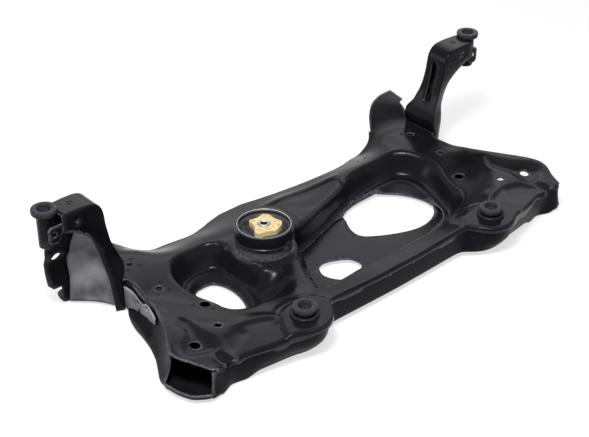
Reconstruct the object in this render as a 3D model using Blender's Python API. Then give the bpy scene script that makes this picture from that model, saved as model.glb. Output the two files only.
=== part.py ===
"""Front subframe of a compact car, drawn and welded from steel sheet.

An upper and a lower shell close to a flat box. The upper shell has a drawn basin on the left, one large
opening on the right, a round engine-mount bush at its front, bolting sleeves on its rear pads and a lobe at
each rear corner. A tower stands at each end, with a flanged sleeve at its top.

All sizes are in millimetres on the drawing's own axes: X to the right, Y to the front, Z up, zero in the
middle of the deck. The finished part stands on its lowest point with its outline centred on the origin.
"""

import math

import bmesh
import bpy
import numpy as np
from mathutils import Vector
from mathutils.geometry import delaunay_2d_cdt

MM = 0.001

# Sheet and fits
SHELL_SHEET = 2.5
TOWER_SHEET = 3.0
FIT_GAP = 0.4
EDGE_STEP = 13.0
GRID_STEP = 25.0

# Heights on the drawing
FLOOR_TOP = -36.0
FLANGE_TOP = FLOOR_TOP + SHELL_SHEET + 2 * FIT_GAP
LOBE_DROP = 8.0
WINDOW_LIP_DROP = 8.0

# Outline of the upper shell, right half, from the rear middle round to the front middle
OUTLINE_REAR = [(0, -190), (60, -190), (118, -188), (142, -191), (152, -207), (164, -221), (182, -229),
                (200, -227), (216, -219), (240, -212), (268, -205), (296, -197)]
OUTLINE_NOTCH = [(312, -199), (322, -190), (332, -197)]
OUTLINE_LOBE = [(349, -197), (359, -174), (371, -152), (373, -136), (365, -119), (355, -104), (344, -84),
                (335, -60), (329, -36), (326, -11), (318, 12), (313, 30)]
OUTLINE_TOWER_SEAT = [(312, 42), (321, 46), (321, 106)]
OUTLINE_FLAP = [(334, 129), (339, 146), (350, 150), (352, 182), (326, 182), (303, 177), (283, 163),
                (268, 146), (256, 131), (243, 122), (222, 117), (196, 111), (160, 97)]
OUTLINE_FRONT_RIGHT = [(120, 92), (60, 96), (0, 106)]
OUTLINE_FRONT_LEFT = [(-38, 119), (-81, 120), (-106, 104), (-128, 98)]

# Heights of the deck at its measured places, the same on both sides
DECK_HEIGHTS = [(0, -190, 9), (80, -188, 10), (139, -188, 12), (188, -194, 12), (240, -206, 9), (300, -200, 5),
                (323, -192, 4), (349, -196, 5.5), (368, -158, 7.5), (372, -136, 10), (356, -105, 13),
                (341, -77, 12), (331, -46, 8), (327, -25, 4), (326, 0, 0), (320, 30, 4), (288, 0, 0),
                (288, 70, 4.8), (259, -67, -4.8), (286, -129, 8), (333, -139, 9), (320, 100, 5.5), (313, 117, 6),
                (336, 138, 17), (350, 165, 21), (327, 180, 22), (300, 165, 14), (268, 144, -3), (243, 120, -15),
                (217, 112, -24), (190, 106, -21), (222, 62, 0), (262, -10, -1), (243, -56, -4), (227, -105, -1),
                (208, -127, 2), (140, -152, 2), (30, -162, 5), (0, 60, 0), (50, 40, 0), (104, 50, 0),
                (150, 60, -1), (110, -19, 3), (60, 96, -14), (0, 100, -14), (140, 92, -14), (255, 100, 0)]

# Left basin: upper rim line, foot line of its wall, and the window cut in its floor
BASIN_RIM = [(-262, -17), (-260, 8), (-251, 30), (-236, 45), (-217, 51), (-191, 51), (-166, 46), (-155, 24),
             (-159, -6), (-158, -36), (-147, -60), (-124, -75), (-122, -90), (-134, -122), (-160, -133),
             (-184, -128), (-206, -122), (-229, -117), (-245, -99), (-248, -70), (-258, -44)]
BASIN_FOOT = [(-240, -14), (-235, 12), (-214, 25), (-192, 27), (-175, 22), (-167, 8), (-166, -22), (-168, -50),
              (-180, -84), (-200, -99), (-222, -95), (-234, -76), (-239, -46)]
BASIN_WINDOW = [(-229, -16), (-224, 0), (-207, 5), (-191, 2), (-183, -14), (-182, -44), (-192, -74),
                (-205, -84), (-219, -78), (-227, -52)]

# Right opening: upper rim line and the foot line of its walls, open down to the lower shell's floor
OPENING_RIM = [(-62, -10), (-46, -11), (-3, -2), (46, 16), (86, 31), (106, 43), (124, 53), (149, 58), (171, 60),
               (203, 61), (222, 59), (238, 49), (251, 31), (261, 9), (263, -10), (258, -30), (244, -56),
               (234, -80), (227, -105), (208, -127), (174, -141), (139, -151), (110, -160), (30, -163),
               (-42, -159), (-82, -162), (-114, -161), (-127, -146), (-118, -123), (-102, -92), (-85, -61),
               (-68, -44), (-63, -30)]
OPENING_FOOT = [(-50, -25), (-30, -19), (8, -7), (52, 8), (100, 25), (144, 29), (192, 33), (214, 29), (226, 16),
                (230, -6), (227, -27), (218, -54), (209, -76), (200, -96), (184, -112), (158, -122),
                (120, -130), (60, -132), (-20, -132), (-84, -130), (-94, -116), (-78, -73), (-60, -45)]
FLANGE_WIDTH = 6.0

# Wall of the lower shell, right half from the rear middle: x and y of its top, x and y of its foot
LOWER_RIGHT = [(0, -187, 0, -186), (60, -186, 60, -185), (104, -184.5, 100, -184), (128, -184, 124, -183.5),
               (144, -185.5, 139, -185), (155, -205, 153, -198), (167, -217, 166, -206), (182, -226, 182, -209),
               (200, -224, 200, -208), (216, -216, 216, -203), (240, -209, 240, -200), (268, -202, 270, -200),
               (295, -194, 296, -196), (311, -191, 311, -186), (330, -190, 330, -188), (345, -193, 350, -193),
               (355, -175, 374, -181), (366, -154, 382, -161), (369, -137, 383, -145), (361, -121, 377, -123),
               (351, -106, 366, -103), (340, -86, 354, -84), (330, -61, 337, -58), (318, -37, 321, -33),
               (314, -13, 316, -8), (310, 11, 314, 8), (307, 27, 312, 24), (306, 37, 311, 37),
               (308, 46, 308, 48), (315, 56, 310, 58), (315, 98, 310, 98), (313, 118, 308, 112),
               (300, 137, 296, 129), (285, 149, 280, 141), (268, 141, 262, 133), (254, 127, 248, 119),
               (240, 116, 235, 108), (221, 112, 217, 104), (196, 106, 193, 98), (160, 92, 158, 85)]
LOWER_FRONT = [(120, 88, 120, 81), (60, 92, 60, 85), (0, 101, 0, 94), (-36, 114, -38, 106), (-80, 115, -79, 107),
               (-104, 100, -102, 93), (-128, 94, -128, 87)]
WALL_RADIUS = 3.0
WALL_STEP = 17.0
MOUTH_START_RIGHT = -66.0
MOUTH_START_LEFT = -118.0
MOUTH_END = -190.0

# Windows of the lower shell's floor
WINDOW_RIGHT = [(56, -40), (80, 10), (104, 20), (133, 23), (160, 19), (184, 0), (200, -28), (202, -58),
                (189, -81), (160, -95), (131, -95), (100, -84), (72, -67)]
WINDOW_MIDDLE = [(-59, -96), (-52, -75), (-38, -69), (-16, -76), (0, -88), (3, -108), (-14, -120), (-44, -120)]

# Holes of the deck: x, y, diameter, and the weld nut's flange diameter where it has a nut
DECK_BOLTS = {"front": (288, 70, 10.5, 28), "middle": (288, 0, 10.5, 28), "rear": (259, -67, 15.0, None)}
LOBE_HOLE_SMALL = (286, -129, 11.0)
LOBE_HOLE_LARGE = (333, -139, 14.5)
NUT_FLANGE = 2.5
NUT_BODY = 7.0

# Rear sleeves
REAR_SLEEVE_XY = (188, -194)
REAR_SLEEVE_TOP = 28.0
REAR_SLEEVE_LOW = -24.0
REAR_SLEEVE_HEAD_R = 17.5
REAR_SLEEVE_TUBE_R = 14.0
REAR_SLEEVE_BORE_R = 8.8
REAR_WELD_R = 21.0

# Engine-mount bush
BUSH_XY = (-110, -19)
BUSH_TOP = 42.0
BUSH_RING_R = 43.2
BUSH_RING_WALL = 3.0
BUSH_RING_BOTTOM = 20.0
COLLAR_R = BUSH_RING_R - 3.2
COLLAR_WALL = 3.0
COLLAR_BOTTOM = -4.0
DOME_TOP = 4.5
DOME_R = COLLAR_R + 6.0
DOME_EDGE = 7.0
DOME_CLEARANCE = 2.0
CORE_TOP = 41.0
CORE_BOTTOM = -14.0
RUBBER_TOP = 32.0
RUBBER_BOTTOM = -6.0
CORE_OUTLINE = [(-31, 4), (-20, 5), (-7, 19), (4, 19), (8, 10), (27, 3), (28, -4), (14, -13), (4, -21),
                (-9, -22), (-14, -12), (-28, -6)]
CORE_TURN = math.radians(4)
INSERT_R = 9.0
INSERT_BORE_R = 5.5

# Towers
TOWER_PROFILE = [(317, 9.0), (317, 26), (317, 43), (319.5, 51), (324.5, 62), (329, 75), (332, 90), (335, 105),
                 (337, 120), (340, 132), (347, 141), (357, 145), (372, 146), (387, 146.2), (402, 146.2)]
NEAR_FREE_EDGE = [(402, 119), (388, 113), (376, 106), (364, 95), (356, 84), (349, 66), (344, 50), (340, 28),
                  (336, 4), (334, -20), (335, -40)]
FAR_FREE_EDGE = [(404, 120), (408, 95), (411, 83), (406, 72), (403, 47), (397, 13), (396, 0), (391, -12),
                 (376, -13), (376, -20), (384, -23), (376, -41), (362, -45), (345, -45)]

# Height, y of the near wall at its fold, how far it leans in to its free edge, and y of the far wall
TOWER_SECTIONS = [(-45, 41, 6, 114), (4, 42, 6, 110), (20, 42.5, 6, 110), (34, 44, 7, 108), (42, 45.5, 8, 103),
                  (50, 46.5, 8, 96.5), (69, 48, 7, 90.5), (84, 48, 5, 88), (106, 47.5, 1, 87), (119, 46.5, 0, 87),
                  (150, 46.5, 0, 87)]
TOWER_FAR_LEAN = 3.0
TOWER_END_X = (372, 402)
TOWER_END_WAIST = 2.0
TOWER_FOOT_X = 324.0
SLOT_WIDTH = 11.0
SLOT_SPAN = (50, 120)
SLOT_Y = 68.0
TOWER_PILOT = (377, 67, 6.0)
TOWER_SLEEVE_XY = (415, 70)
TOWER_SLEEVE_TOP = 153.0
TOWER_SLEEVE_LENGTH = 59.0
TOWER_SLEEVE_FLANGE_R = 18.0
TOWER_SLEEVE_FLANGE = 6.0
TOWER_SLEEVE_R = 11.8
TOWER_SLEEVE_BORE_R = 9.0
CLOSING_SHEET = 2.0
CLOSING_NEAR_INSET = 6.0
CLOSING_NEAR_LIMIT = 357.0
CLOSING_FAR_X = [(-40, 369), (-20, 368), (3, 367), (36, 370), (71, 369), (92, 366), (120, 364)]
FAR_HOLE = (387, 47, 11.0)
GUSSET_OUTLINE = [(38, -5), (30, -3), (14, -4), (4, -8), (-4, -9), (-12, -5), (-24, -4), (-38, -4), (-47, -6),
                  (-46, -17), (-22, -27), (2, -36), (22, -41), (38, -42)]
GUSSET_HOLES = [(7, -13), (-17, -9.5), (5, -27)]
GUSSET_LINE = [(-48, 332), (-36, 328), (-18, 322.5), (10, 320.5), (40, 318.5)]
CLIP_TAB_X = (398, 422)
CLIP_TAB_SHEET = 2.0
CLIP_TAB_CLEARANCE = 0.5
CLIP_TAB_Z = (103, 130)
CLIP_HOLE = (CLIP_TAB_X[0] + 15, CLIP_TAB_Z[0] + 14, 3.4)


def vec(*points):
    """An array of plan points."""
    return np.array(points, dtype=float)


def mirrored(points):
    """The same points on the other side, in the opposite order."""
    return [(-p[0],) + tuple(p[1:]) for p in reversed(points)]


def curve_through(points, step=EDGE_STEP, closed=True, corners=()):
    """Even points on a smooth curve through the given points, sharp where a point's index is in corners."""
    nodes = [np.array(p, dtype=float) for p in points]
    count = len(nodes)
    spans = count if closed else count - 1
    result = []
    for i in range(spans):
        here = nodes[i]
        there = nodes[(i + 1) % count]
        length = np.linalg.norm(there - here)
        straight = (there - here) / length
        leave = straight
        arrive = straight
        if i not in corners and (closed or i > 0):
            before = nodes[i - 1]
            leave = (there - before) / (np.linalg.norm(here - before) + length)
        if (i + 1) % count not in corners and (closed or i + 2 < count):
            after = nodes[(i + 2) % count]
            arrive = (after - here) / (np.linalg.norm(after - there) + length)
        pieces = max(1, round(length / step))
        for k in range(pieces):
            t = k / pieces
            result.append((2 * t**3 - 3 * t**2 + 1) * here + (t**3 - 2 * t**2 + t) * length * leave
                          + (3 * t**2 - 2 * t**3) * there + (t**3 - t**2) * length * arrive)
    if not closed:
        result.append(nodes[-1])
    return np.array(result)


def circle(x, y, diameter, segments=14):
    """The points of a round hole."""
    turn = [2 * math.pi * k / segments for k in range(segments)]
    return vec(*[(x + diameter / 2 * math.cos(a), y + diameter / 2 * math.sin(a)) for a in turn])


def outward(loop):
    """Unit normals of a closed loop, pointing out of it."""
    along = np.roll(loop, -1, axis=0) - np.roll(loop, 1, axis=0)
    along /= np.linalg.norm(along, axis=1)[:, None]
    area = np.sum(loop[:, 0] * np.roll(loop[:, 1], -1) - np.roll(loop[:, 0], -1) * loop[:, 1])
    side = 1.0 if area > 0 else -1.0
    return side * np.stack([along[:, 1], -along[:, 0]], axis=1)


def grown(loop, distance):
    """The loop moved outwards by a distance, or inwards by a negative one."""
    return loop + outward(loop) * distance


def inside(points, loop):
    """Which points lie inside a closed loop."""
    x = points[:, 0][:, None]
    y = points[:, 1][:, None]
    x0, y0 = loop[:, 0], loop[:, 1]
    x1, y1 = np.roll(x0, -1), np.roll(y0, -1)
    crosses = (y0 > y) != (y1 > y)
    rise = np.where(y1 == y0, 1e-9, y1 - y0)
    at = (x1 - x0) * (y - y0) / rise + x0
    return np.sum(crosses & (x < at), axis=1) % 2 == 1


def distance(points, loop, closed=True):
    """Distance of each point from a loop, or from an open line."""
    start = loop if closed else loop[:-1]
    end = np.roll(loop, -1, axis=0) if closed else loop[1:]
    run = end - start
    to = points[:, None, :] - start[None, :, :]
    share = np.clip(np.sum(to * run, axis=2) / np.sum(run * run, axis=1), 0, 1)
    gap = to - share[..., None] * run
    return np.sqrt(np.min(np.sum(gap * gap, axis=2), axis=1))


def smooth(t):
    """An S-shaped ramp from 0 to 1."""
    t = np.clip(t, 0, 1)
    return t * t * (3 - 2 * t)


def clear_of_dome(loop):
    """The loop kept outside the dome round the bush."""
    out = loop - np.array(BUSH_XY)
    radius = np.linalg.norm(out, axis=1)[:, None]
    return np.array(BUSH_XY) + out / radius * np.maximum(radius, DOME_R + DOME_CLEARANCE)


def between(points, rim, foot):
    """0 on and outside the rim line, 1 on and inside the foot line, even in between."""
    to_rim = distance(points, rim)
    to_foot = distance(points, foot)
    share = to_rim / (to_rim + to_foot + 1e-9)
    share = np.where(inside(points, rim), share, 0.0)
    return np.where(inside(points, foot), 1.0, share)


class Deck:
    """A smooth sheet surface through measured heights, as a thin plate would bend."""

    def __init__(self, heights):
        places = vec(*[(h[0], h[1]) for h in heights])
        values = np.array([h[2] for h in heights], dtype=float)
        count = len(places)
        matrix = np.zeros((count + 3, count + 3))
        matrix[:count, :count] = self.bend(places, places)
        matrix[:count, count:] = np.column_stack([np.ones(count), places])
        matrix[count:, :count] = matrix[:count, count:].T
        self.weights = np.linalg.solve(matrix, np.concatenate([values, np.zeros(3)]))
        self.places = places

    @staticmethod
    def bend(a, b):
        square = np.sum((a[:, None, :] - b[None, :, :]) ** 2, axis=2)
        return 0.5 * square * np.log(square + 1e-9)

    def height(self, points):
        folded = np.column_stack([np.abs(points[:, 0]), points[:, 1]])
        flat = np.column_stack([np.ones(len(folded)), folded])
        return self.bend(folded, self.places) @ self.weights[:-3] + flat @ self.weights[-3:]


# Lines worked out once from the outlines above
RIGHT_SIDE = OUTLINE_REAR + OUTLINE_NOTCH + OUTLINE_LOBE + OUTLINE_TOWER_SEAT + OUTLINE_FLAP
CORNER_POINTS = {(118, -188), (312, -199), (322, -190), (332, -197), (349, -197), (313, 30), (312, 42), (321, 46),
                 (321, 106), (334, 129), (339, 146), (350, 150), (352, 182), (326, 182), (-38, 119), (-81, 120)}


def shell_outline(step=EDGE_STEP):
    """The upper shell's whole outline, counter-clockwise from the rear middle."""
    points = RIGHT_SIDE + OUTLINE_FRONT_RIGHT + OUTLINE_FRONT_LEFT + mirrored(RIGHT_SIDE)[:-1]
    corners = {i for i, p in enumerate(points) if p in CORNER_POINTS or (-p[0], p[1]) in CORNER_POINTS}
    return curve_through(points, step, corners=corners)


DECK = Deck(DECK_HEIGHTS)
RIM_LEFT = clear_of_dome(curve_through(BASIN_RIM, 12.0))
FOOT_LEFT = curve_through(BASIN_FOOT, 10.0)
LIP_LEFT = curve_through(BASIN_WINDOW, 9.0)
RIM_RIGHT = clear_of_dome(curve_through(OPENING_RIM, 12.0))
FOOT_RIGHT = curve_through(OPENING_FOOT, 12.0)
PAD_LINE = curve_through([(146, -184), (150, -172), (166, -163), (190, -161), (214, -168), (228, -183), (232, -200),
                          (220, -240), (150, -240)], 10.0)
PAD_TOP = 13.6
DISH_LINE = curve_through([(312, -76), (320, -64), (331, -105), (347, -125), (361, -149), (336, -168),
                           (314, -169), (305, -150), (307, -128), (304, -88)], 12.0)
DISH_DEPTH = 5.5
LOW_CORNER = curve_through([(264, -148), (262, -170), (281, -180), (300, -189), (312, -180), (300, -152)], 12.0)
LOW_CORNER_DEPTH = 4.0
GROOVE = curve_through([(18, 60), (60, 58), (104, 57), (132, 66)], 8.0, closed=False)
GROOVE_DEPTH = 4.0
GROOVE_WIDTH = 16.0
TERRACE_LINES = [curve_through([(-172, -58), (-140, -44), (-120, -62), (-118, -86), (-150, -84)], 7.0),
                 curve_through([(-176, -78), (-146, -76), (-124, -90), (-126, -112), (-160, -110)], 7.0)]
TERRACE_RISE = 5.0


def upper_height(points):
    """Height of the upper shell's top face at plan points."""
    z = DECK.height(points)
    for side in (1, -1):
        flipped = points * np.array([side, 1])
        pad = inside(flipped, PAD_LINE)
        z = z + (PAD_TOP - z) * np.where(pad, smooth(distance(flipped, PAD_LINE) / 7), 0)
        dish = inside(flipped, DISH_LINE)
        z = z - DISH_DEPTH * np.where(dish, smooth(distance(flipped, DISH_LINE) / 9), 0)
        low = inside(flipped, LOW_CORNER)
        z = z - LOW_CORNER_DEPTH * np.where(low, smooth(distance(flipped, LOW_CORNER) / 8), 0)
    z = z - GROOVE_DEPTH * smooth(1 - distance(points, GROOVE, closed=False) * 2 / GROOVE_WIDTH)
    radius = np.linalg.norm(points - np.array(BUSH_XY), axis=1)
    z = z + (DOME_TOP - z) * smooth((DOME_R + DOME_EDGE - radius) / DOME_EDGE)
    down = smooth(between(points, RIM_LEFT, FOOT_LEFT) * 1.25 - 0.08)
    z = z + (FLANGE_TOP - z) * down
    for line in TERRACE_LINES:
        raised = np.where(inside(points, line), smooth(distance(points, line) / 8), 0)
        z = z + TERRACE_RISE * raised * (1 - down) * down * 4
    lip = between(points, grown(FOOT_LEFT, -FLANGE_WIDTH), LIP_LEFT)
    z = z - WINDOW_LIP_DROP * lip
    down = smooth(between(points, RIM_RIGHT, FOOT_RIGHT) * 1.25 - 0.08)
    return z + (FLANGE_TOP - z) * down


def floor_height(points):
    """Height of the lower shell's top face at plan points."""
    x = np.abs(points[:, 0])
    y = points[:, 1]
    lobe = smooth((x - 268) / 24) * smooth((-y + 20) / 30)
    return FLOOR_TOP - LOBE_DROP * np.maximum(lobe, smooth((x - 290) / 20))


def fill_points(seed, extra, spacing, keep):
    """Adds the points of extra that keep accepts and that lie clear of all points taken before."""
    taken = [seed]
    for group, gap in extra:
        group = group[keep(group)]
        for point in group:
            near = min(np.min(np.sum((t - point) ** 2, axis=1)) for t in taken if len(t))
            if near > gap * gap:
                taken.append(point[None, :])
        taken = [np.concatenate(taken)]
    return taken[0][len(seed):]


def grid(loop, step):
    """A staggered grid over a loop's box."""
    low, high = loop.min(axis=0), loop.max(axis=0)
    rows = []
    for j, y in enumerate(np.arange(low[1], high[1], step * 0.87)):
        xs = np.arange(low[0] + (j % 2) * step / 2, high[0], step)
        rows.append(np.column_stack([xs, np.full(len(xs), y)]))
    return np.concatenate(rows)


def flat_sheet(bm, outline, holes, extra, place, step=GRID_STEP, margin=None):
    """Fills an outline with holes with triangles and lifts it by place. Returns the rings of edge vertices."""
    loops = [outline] + holes

    def keep(points):
        ok = inside(points, outline) & (distance(points, outline) > (margin or step * 0.3))
        for hole in holes:
            ok &= ~inside(points, hole) & (distance(points, hole) > step * 0.2)
        return ok

    seed = np.concatenate(loops)
    inner = fill_points(seed, extra + [(grid(outline, step), step * 0.62)], step, keep)
    points = np.concatenate([seed, inner]) if len(inner) else seed
    edges = []
    start = 0
    for loop in loops:
        edges += [(start + k, start + (k + 1) % len(loop)) for k in range(len(loop))]
        start += len(loop)
    flat = [Vector((float(p[0]), float(p[1]))) for p in points]
    places, _, faces, origins, _, _ = delaunay_2d_cdt(flat, edges, [], 1, 1e-5)
    plan = np.array([[p.x, p.y] for p in places])
    centres = np.array([plan[list(f)].mean(axis=0) for f in faces])
    wanted = inside(centres, outline)
    for hole in holes:
        wanted &= ~inside(centres, hole)
    lifted = place(plan)
    verts = [bm.verts.new(Vector([float(c) for c in p]) * MM) for p in lifted]
    for face, ok in zip(faces, wanted):
        if ok:
            bm.faces.new([verts[k] for k in face])
    new_index = {old: new for new, olds in enumerate(origins) for old in olds}
    rings = []
    start = 0
    for loop in loops:
        rings.append([verts[new_index[start + k]] for k in range(len(loop))])
        start += len(loop)
    for vert in [v for v in verts if not v.link_faces]:
        bm.verts.remove(vert)
    return rings


def turn_edge(bm, ring, rows):
    """Extends a sheet from a run of its edge vertices through rows of new places, in millimetres."""
    previous = ring
    for row in rows:
        fresh = [bm.verts.new(Vector([float(c) for c in place]) * MM) for place in row]
        for k in range(len(ring) - 1):
            bm.faces.new((previous[k], previous[k + 1], fresh[k + 1], fresh[k]))
        previous = fresh


def finish_sheet(name, bm, thickness, material, up=True, smooth_angle=40):
    """Makes the object of a sheet, with its normals up and its thickness below them."""
    bmesh.ops.remove_doubles(bm, verts=bm.verts, dist=0.02 * MM)
    bmesh.ops.recalc_face_normals(bm, faces=bm.faces)
    total = sum((f.normal * f.calc_area() for f in bm.faces), Vector())
    if (total.z < 0) == up:
        bmesh.ops.reverse_faces(bm, faces=bm.faces)
    obj = new_object(name, bm, material, smooth_angle)
    shell = obj.modifiers.new("Sheet", 'SOLIDIFY')
    shell.thickness = thickness * MM
    shell.offset = -1
    shell.use_even_offset = True
    shell.thickness_clamp = 0
    return obj


def new_material(name, colour, roughness, metallic):
    """A plain material of one colour."""
    material = bpy.data.materials.new(name)
    material.use_nodes = True
    shader = material.node_tree.nodes["Principled BSDF"]
    shader.inputs["Base Color"].default_value = (*colour, 1)
    shader.inputs["Roughness"].default_value = roughness
    shader.inputs["Metallic"].default_value = metallic
    material.diffuse_color = (*colour, 1)
    return material


FINISHES = {"paint": ((0.018, 0.017, 0.02), 0.35, 0.0), "rubber": ((0.015, 0.015, 0.016), 0.7, 0.0),
            "aluminium": ((0.66, 0.6, 0.45), 0.5, 0.6), "steel": ((0.5, 0.52, 0.52), 0.35, 1.0)}


def new_object(name, bm, finish, smooth_angle=40):
    """Turns a bmesh into a named object with a material of its own."""
    mesh = bpy.data.meshes.new(name)
    bm.to_mesh(mesh)
    bm.free()
    mesh.materials.append(new_material(name + "_" + finish, *FINISHES[finish]))
    mesh.shade_smooth()
    mesh.set_sharp_from_angle(angle=math.radians(smooth_angle))
    obj = bpy.data.objects.new(name, mesh)
    bpy.context.scene.collection.objects.link(obj)
    return obj


def lathe(name, profile, centre, finish, segments=18):
    """Turns a closed profile of radius and height round a vertical axis."""
    bm = bmesh.new()
    ring = [bm.verts.new((r * MM, 0, z * MM)) for r, z in profile]
    edges = [bm.edges.new((ring[k], ring[(k + 1) % len(ring)])) for k in range(len(ring))]
    bmesh.ops.spin(bm, geom=ring + edges, cent=(0, 0, 0), axis=(0, 0, 1), angle=2 * math.pi, steps=segments,
                   use_merge=True)
    bmesh.ops.remove_doubles(bm, verts=bm.verts, dist=0.01 * MM)
    bmesh.ops.recalc_face_normals(bm, faces=bm.faces)
    bmesh.ops.translate(bm, verts=bm.verts, vec=(centre[0] * MM, centre[1] * MM, 0))
    return new_object(name, bm, finish)


def prism(name, outline, holes, low, high, finish, centre=(0, 0), upright=False, smooth_angle=40):
    """A flat body between two heights, or two depths if upright, with an outline and through holes."""
    bm = bmesh.new()
    shift = np.array(centre, dtype=float)

    def place(plan):
        lifted = np.column_stack([plan + shift, np.full(len(plan), high)])
        return lifted[:, [0, 2, 1]] if upright else lifted

    flat_sheet(bm, outline, holes, [], place, step=16.0)
    made = bmesh.ops.extrude_face_region(bm, geom=list(bm.faces))
    moved = [v for v in made["geom"] if isinstance(v, bmesh.types.BMVert)]
    travel = (low - high) * MM
    bmesh.ops.translate(bm, verts=moved, vec=(0, travel, 0) if upright else (0, 0, travel))
    bmesh.ops.recalc_face_normals(bm, faces=bm.faces)
    return new_object(name, bm, finish, smooth_angle)


def ring_between(rim, foot, share):
    """Points a given share of the way down from the rim line to the foot line."""
    to = foot[np.argmin(np.sum((rim[:, None, :] - foot[None, :, :]) ** 2, axis=2), axis=1)]
    return rim + (to - rim) * share


def upper_shell():
    """The upper stamping: deck, basin, opening walls, pads, lobes and flaps."""
    bm = bmesh.new()
    outline = shell_outline()
    holes = [grown(FOOT_RIGHT, -FLANGE_WIDTH), LIP_LEFT, circle(*BUSH_XY, 2 * (COLLAR_R + FIT_GAP), 36)]
    for side in (1, -1):
        for x, y, hole, _ in DECK_BOLTS.values():
            holes.append(circle(side * x, y, hole, 10))
        holes.append(circle(side * LOBE_HOLE_SMALL[0], *LOBE_HOLE_SMALL[1:], 10))
        holes.append(circle(side * LOBE_HOLE_LARGE[0], *LOBE_HOLE_LARGE[1:], 12))
        holes.append(circle(side * REAR_SLEEVE_XY[0], REAR_SLEEVE_XY[1], 2 * (REAR_SLEEVE_TUBE_R + FIT_GAP), 22))
    extra = [(circle(*BUSH_XY, 2 * DOME_R + 1, 36), 3.0)]
    for rim, foot in ((RIM_LEFT, FOOT_LEFT), (RIM_RIGHT, FOOT_RIGHT)):
        for share in (0.0, 0.3, 0.7):
            extra.append((ring_between(rim, foot, share), 9.0))
        extra.append((foot, 5.0))
    extra.append((grown(FOOT_LEFT, -FLANGE_WIDTH), 5.0))
    for side in (1, -1):
        flip = np.array([side, 1])
        extra += [(PAD_LINE * flip, 5.0), (grown(PAD_LINE, -7) * flip, 5.0)]
        extra += [(DISH_LINE * flip, 5.0), (grown(DISH_LINE, -9) * flip, 5.0)]
        extra += [(LOW_CORNER * flip, 5.0), (grown(LOW_CORNER, -8) * flip, 5.0)]
    extra += [(GROOVE, 5.0), (GROOVE + [0, 8], 5.0), (GROOVE - [0, 8], 5.0)]
    place = lambda plan: np.column_stack([plan, upper_height(plan)])
    rings = flat_sheet(bm, outline, holes, extra, place)
    skirts = [(lambda p: p[:, 1] < -186, 8.0), (lambda p: (p[:, 1] > 90) & (np.abs(p[:, 0]) < 262), 6.0)]
    for wanted, depth in skirts:
        add_skirts(bm, rings[0], outline, wanted(outline), depth)
    return finish_sheet("upper_shell", bm, SHELL_SHEET, "paint")


def add_skirts(bm, ring, outline, wanted, depth, radius=3.0):
    """Turns down each unbroken run of wanted edge vertices, shallower at its ends."""
    normals = outward(outline)
    for run in runs_of(wanted):
        verts = [ring[k] for k in run]
        base = np.array([list(v.co) for v in verts]) / MM
        share = np.array([min(1.0, 0.62 + 0.19 * min(i, len(run) - 1 - i)) for i in range(len(run))])
        rows = []
        for out, down in ((0.62, 0.38 * radius), (0.9, radius), (1.0, depth * share)):
            row = base.copy()
            row[:, :2] += normals[run] * radius * out
            row[:, 2] -= down
            rows.append(row)
        turn_edge(bm, verts, rows)


def runs_of(wanted):
    """Unbroken runs of true values round a closed ring."""
    count = len(wanted)
    starts = [k for k in range(count) if wanted[k] and not wanted[k - 1]]
    runs = []
    for start in starts:
        run = []
        k = start
        while wanted[k % count] and len(run) < count:
            run.append(k % count)
            k += 1
        if len(run) > 2:
            runs.append(run)
    return runs


def lower_edges():
    """The lower shell's wall, as even points along its top and along its foot, with corners kept."""
    table = LOWER_RIGHT + LOWER_FRONT + [(-a, b, -c, d) for a, b, c, d in reversed(LOWER_RIGHT)][:-1]
    top = vec(*[row[:2] for row in table])
    foot = vec(*[row[2:] for row in table])
    tops, feet = [], []
    count = len(table)
    for k in range(count):
        n = (k + 1) % count
        pieces = max(1, round(np.linalg.norm(foot[n] - foot[k]) / WALL_STEP))
        for i in range(pieces):
            tops.append(top[k] + (top[n] - top[k]) * i / pieces)
            feet.append(foot[k] + (foot[n] - foot[k]) * i / pieces)
    return np.array(tops), np.array(feet)


def lower_shell():
    """The lower stamping: flat floor with its windows, and the walls that rise to the upper shell."""
    bm = bmesh.new()
    top, foot = lower_edges()
    outline = grown(foot, -WALL_RADIUS)
    left = grown(FOOT_LEFT, -FLANGE_WIDTH + 6.5)
    holes = [curve_through(WINDOW_RIGHT, 12.0), curve_through(WINDOW_MIDDLE, 11.0), left]
    for side in (1, -1):
        holes.append(circle(side * REAR_SLEEVE_XY[0], REAR_SLEEVE_XY[1], 2 * REAR_SLEEVE_BORE_R, 16))
    place = lambda plan: np.column_stack([plan, floor_height(plan)])
    rings = flat_sheet(bm, outline, holes, [], place, step=34.0)
    reach = np.min([upper_height(grown(top, d)) for d in (-2.0, 0.0, 1.5, 3.0)], axis=0) - SHELL_SHEET * 1.25 - FIT_GAP * 4
    base = floor_height(outline)
    for run in runs_of(lower_has_wall(foot)):
        share = np.array([min(1.0, 0.25 + 0.375 * min(i, len(run) - 1 - i)) for i in range(len(run))])
        rise = (reach[run] - base[run]) * share
        low = outline[run] + (foot[run] - outline[run]) * 0.7
        ends = foot[run] + (top[run] - foot[run]) * share[:, None]
        rows = [np.column_stack([low, base[run] + WALL_RADIUS * 0.25 * share]),
                np.column_stack([foot[run], base[run] + WALL_RADIUS * share]),
                np.column_stack([ends, base[run] + rise])]
        turn_edge(bm, [rings[0][k] for k in run], rows)
    return finish_sheet("lower_shell", bm, SHELL_SHEET, "paint")


def lower_has_wall(foot):
    """Where the lower shell has a wall: everywhere but the outboard mouths of the lobes."""
    start = np.where(foot[:, 0] > 0, MOUTH_START_RIGHT, MOUTH_START_LEFT)
    return ~((np.abs(foot[:, 0]) > 340) & (foot[:, 1] < start) & (foot[:, 1] > MOUTH_END))


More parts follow.
